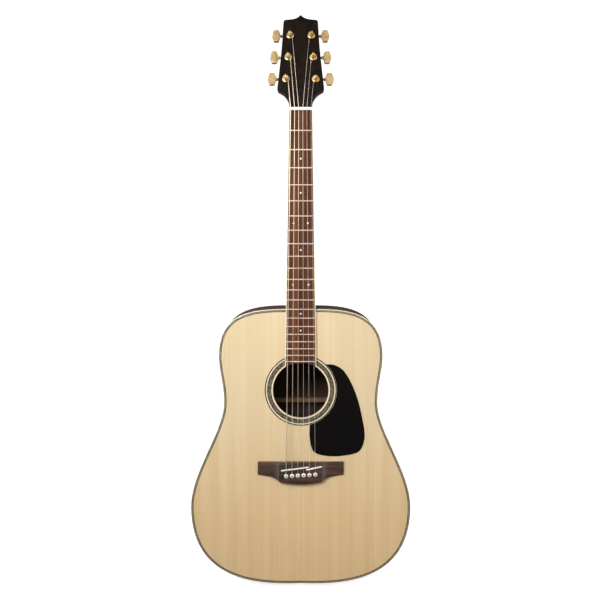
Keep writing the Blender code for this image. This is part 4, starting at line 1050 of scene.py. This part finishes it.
def make_knob(number, side, place):
    """Amber knob with its gold stem, ferrule and end screw."""
    body, half = f"knob_{number}", KNOB_SIZE[1] / 2
    layers = ((-1, 0.62), (-0.99, 0.78), (-0.86, 0.92), (-0.5, 0.99), (0, 1))
    layers += tuple((-y, share) for y, share in reversed(layers[:-1]))
    knob = loft([knob_loop(side, share, y * half) for y, share in layers])
    place = place @ Matrix.Translation((0, SHAFT_Y, WORM_OFFSET))
    finish(f"amber_knob_{number}", moved(knob, place), [AMBER], f"tuner_{body}", body, 40)
    inner, outer = KNOB_REACH - KNOB_SIZE[0] / 2, KNOB_REACH + KNOB_SIZE[0] / 2
    stem = [(SHAFT_RADIUS, -0.0032), (0.0027, -0.003), (0.0031, -0.0022), (0.0031, -0.0012)]
    stem += [(0.0026, -0.0006), (0.0026, 0.001), (0, 0.001)]
    stem = [(radius, inner + run) for radius, run in stem]
    stem = turned([(0, 0.0098), (SHAFT_RADIUS, 0.0098), *stem], 32, (side, 0, 0))
    cap = ((0, -0.001), (0.0019, -0.001), (0.0019, 0.0002), (0.0014, 0.0007), (0, 0.0009))
    cap = turned([(radius, outer + run) for radius, run in cap], 24, (side, 0, 0))
    finish(f"knob_trim_{number}", moved(merged(stem, cap), place), [GOLD], None, body, 30)


# ---------- strings


def wire(name, points, radius, material, body="root"):
    """A round wire along the points, as a curve."""
    curve = bpy.data.curves.new(name, "CURVE")
    curve.dimensions = "3D"
    curve.bevel_depth = radius
    curve.bevel_resolution = 4
    curve.use_fill_caps = True
    spline = curve.splines.new("POLY")
    spline.points.add(len(points) - 1)
    for point, place in zip(spline.points, points):
        point.co = (*place, 1)
    curve.materials.append(material)
    made = placed(name, curve)
    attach(made, body)
    return made


def winding(number, last, turns=2.5, steps=28):
    """The turns round the post, up to the hole and through it."""
    start = HEAD.inverted() @ last
    side, x, z = post_places()[number]
    radius = STRING_RADII[number]
    reach = POST_RADIUS + radius
    away = Vector((start.x - x, start.z - z))
    first = atan2(away.y, away.x) - side * acos(reach / away.length)
    pitch = 2 * radius + TURN_GAP
    shares = [i / steps for i in range(int(turns * steps) + 1)]
    points = [(reach, first - side * 2 * pi * share, COIL_START - pitch * share) for share in shares]
    reach, angle, height = points[-1]
    for share in (i / 9 for i in range(1, 10)):
        points.append((reach, angle - side * pi / 2 * share, height + (POST_HOLE_Y - height) * share))
    reach, angle, height = points[-1]
    through = ((0.6, 0.2), (-0.9, 0), (-1.3, 0))
    points += [(reach * share, angle - side * lag, height) for share, lag in through]
    return [HEAD @ Vector((x + r * cos(a), y, z + r * sin(a))) for r, a, y in points]


def make_strings():
    for number, (radius, (pin_x, pin_z)) in enumerate(zip(STRING_RADII, pin_places())):
        share = number / 5 - 0.5
        (x0, z0), (x1, z1) = BASS_SADDLE if number < 4 else TREBLE_SADDLE
        x = share * SADDLE_SPREAD
        z = z0 + (z1 - z0) * (x - x0) / (x1 - x0)
        crest = string_underside(z) - radius
        nut = Vector((share * NUT_SPREAD, STRING_AT_NUT - radius, NUT_Z + NUT_THICKNESS * 0.45))
        coil = winding(number, nut)
        route = [
            (pin_x, BRIDGE_FACE + 0.003, pin_z + 0.0022),
            (pin_x, BRIDGE_FACE - radius * 0.4, pin_z + PIN_HEAD_RADIUS + 0.0002),
            (x, crest + 0.0004, z - 0.0011),
            (x, crest, z - 0.0002),
            nut,
            coil[0],
        ]
        material, slot = (BRONZE, "bronze_string") if number < 4 else (PLAIN, "plain_string")
        straight = wire(f"string_run_{number + 1}", route, radius, material)
        wire(f"string_coil_{number + 1}", coil, radius, material, f"post_{number + 1}")
        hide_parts(f"string_{number + 1}")


# ---------- strap button and CAD pieces


def make_button():
    rim = BUTTON_RADIUS
    profile = [(0, 0.0004), (0.0022, 0.0004), (0.0024, 0), (rim - 0.0014, 0), (rim - 0.0004, 0.0003)]
    profile += [(rim, 0.001), (rim, 0.0024), (rim - 0.0006, 0.0034), (0.0052, 0.0052), (0.0045, 0.0068)]
    profile += [(0.0046, 0.0084), (0.0056, 0.0104), (0.0066, 0.0116), (0.0067, 0.0126), (0, 0.0126)]
    finish("strap_button", turned(profile, 56), [GOLD], "end_pin")
    felt = [(0, 0.0124), (0.0076, 0.0124), (0.0079, 0.013), (0.0076, 0.0137), (0, 0.0137)]
    finish("button_felt", turned(felt, 48), [BLACK_LINE], smooth=50)


def dress_cad_nodes():
    """Pieces inside the body keep their CAD shape and get a better material."""
    inside = (
        (BRACE_SPRUCE, ("x_brace_bass", "x_brace_treble", "upper_face_brace")),
        (SHADED_BACK_BRACE_WOOD, ("back_brace_1", "back_brace_2", "back_brace_3")),
        (LINING_WOOD, ("neck_block", "tail_block", "lining_front", "lining_back")),
        (MAPLE, ("bridge_plate",)),
        (STEEL, ("truss_rod",)),
    )
    for material, names in inside:
        for name in names:
            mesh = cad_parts[name].data
            mesh.materials.clear()
            mesh.materials.append(material)


# ---------- studio


def make_studio():
    """A white bowl that only the camera sees, soft boxes left and right, and three lights."""
    reach, bend, rim = 3.2, 1.6, 4.5
    curve = [(reach + bend * sin(a), bend - bend * cos(a)) for a in arc(pi / 2, 16)]
    floor = solid("studio_floor", turned([(0, -0.0002), *curve, (reach + bend, rim)], 96), [studio()])
    for ray in ("diffuse", "glossy", "transmission", "shadow"):
        setattr(floor, f"visible_{ray}", False)
    world = bpy.data.worlds.new("studio_world")
    sky = Graph(world)
    x, _, z = sky.axes(sky.add("TexCoord", {}, "Generated"))
    boxes = sky.range(sky.sum("ABSOLUTE", x), 0.4, 0.92, 0.17, 1.4)
    level = sky.range(sky.sum("ABSOLUTE", z), 0.25, 0.6, 1, 0.35)
    background = sky.tree.nodes["Background"]
    sky.put(background.inputs["Strength"], sky.sum("MULTIPLY", boxes, level))
    sky.put(background.inputs["Color"], (1, 1, 1))
    bpy.context.scene.world = world
    add_light("key", (-0.55, -1.45, 1.3), (0, 0, 0.58), 0.7, 3.8, 58)
    add_light("fill", (1.3, -1.9, 1.1), (0, 0, 0.55), 1.5, 7.5)
    add_light("rim", (-1.6, 1.5, 2.3), (0, 0, 0.5), 1.2, 36)
    bpy.context.scene.view_settings.view_transform = "Standard"


def add_light(name, place, aim, size, power, spread=180):
    lamp = bpy.data.lights.new(name, "AREA")
    lamp.size = size
    lamp.energy = power
    lamp.spread = radians(spread)
    light = placed(name, lamp)
    light.location = place
    light.rotation_euler = (Vector(aim) - Vector(place)).to_track_quat("-Z", "Y").to_euler()


def make_camera():
    camera = bpy.data.cameras.new("camera")
    camera.lens = 51.9
    made = placed("camera", camera)
    made.location = (-0.0013, -1.63, NUT_Z - 0.2363)
    made.rotation_euler = (radians(90 - 3.8), 0, 0)
    bpy.context.scene.camera = made


make_camera()
make_studio()
make_top()
make_back()
make_sides()
make_bindings()
make_purflings()
make_end_graft()
make_rosette()
make_pickguard()
make_bridge()
make_saddles()
make_bridge_pins()
make_fretboard()
make_frets_and_dots()
make_nut()
make_neck()
make_heel_cap()
make_headplate()
for index, (hand, post_x, post_z) in enumerate(post_places(), 1):
    spot = HEAD @ Matrix.Translation((post_x, 0, post_z))
    make_housing(index, hand, spot)
    make_post(index, spot)
    make_knob(index, hand, spot)
make_strings()
make_button()
dress_cad_nodes()
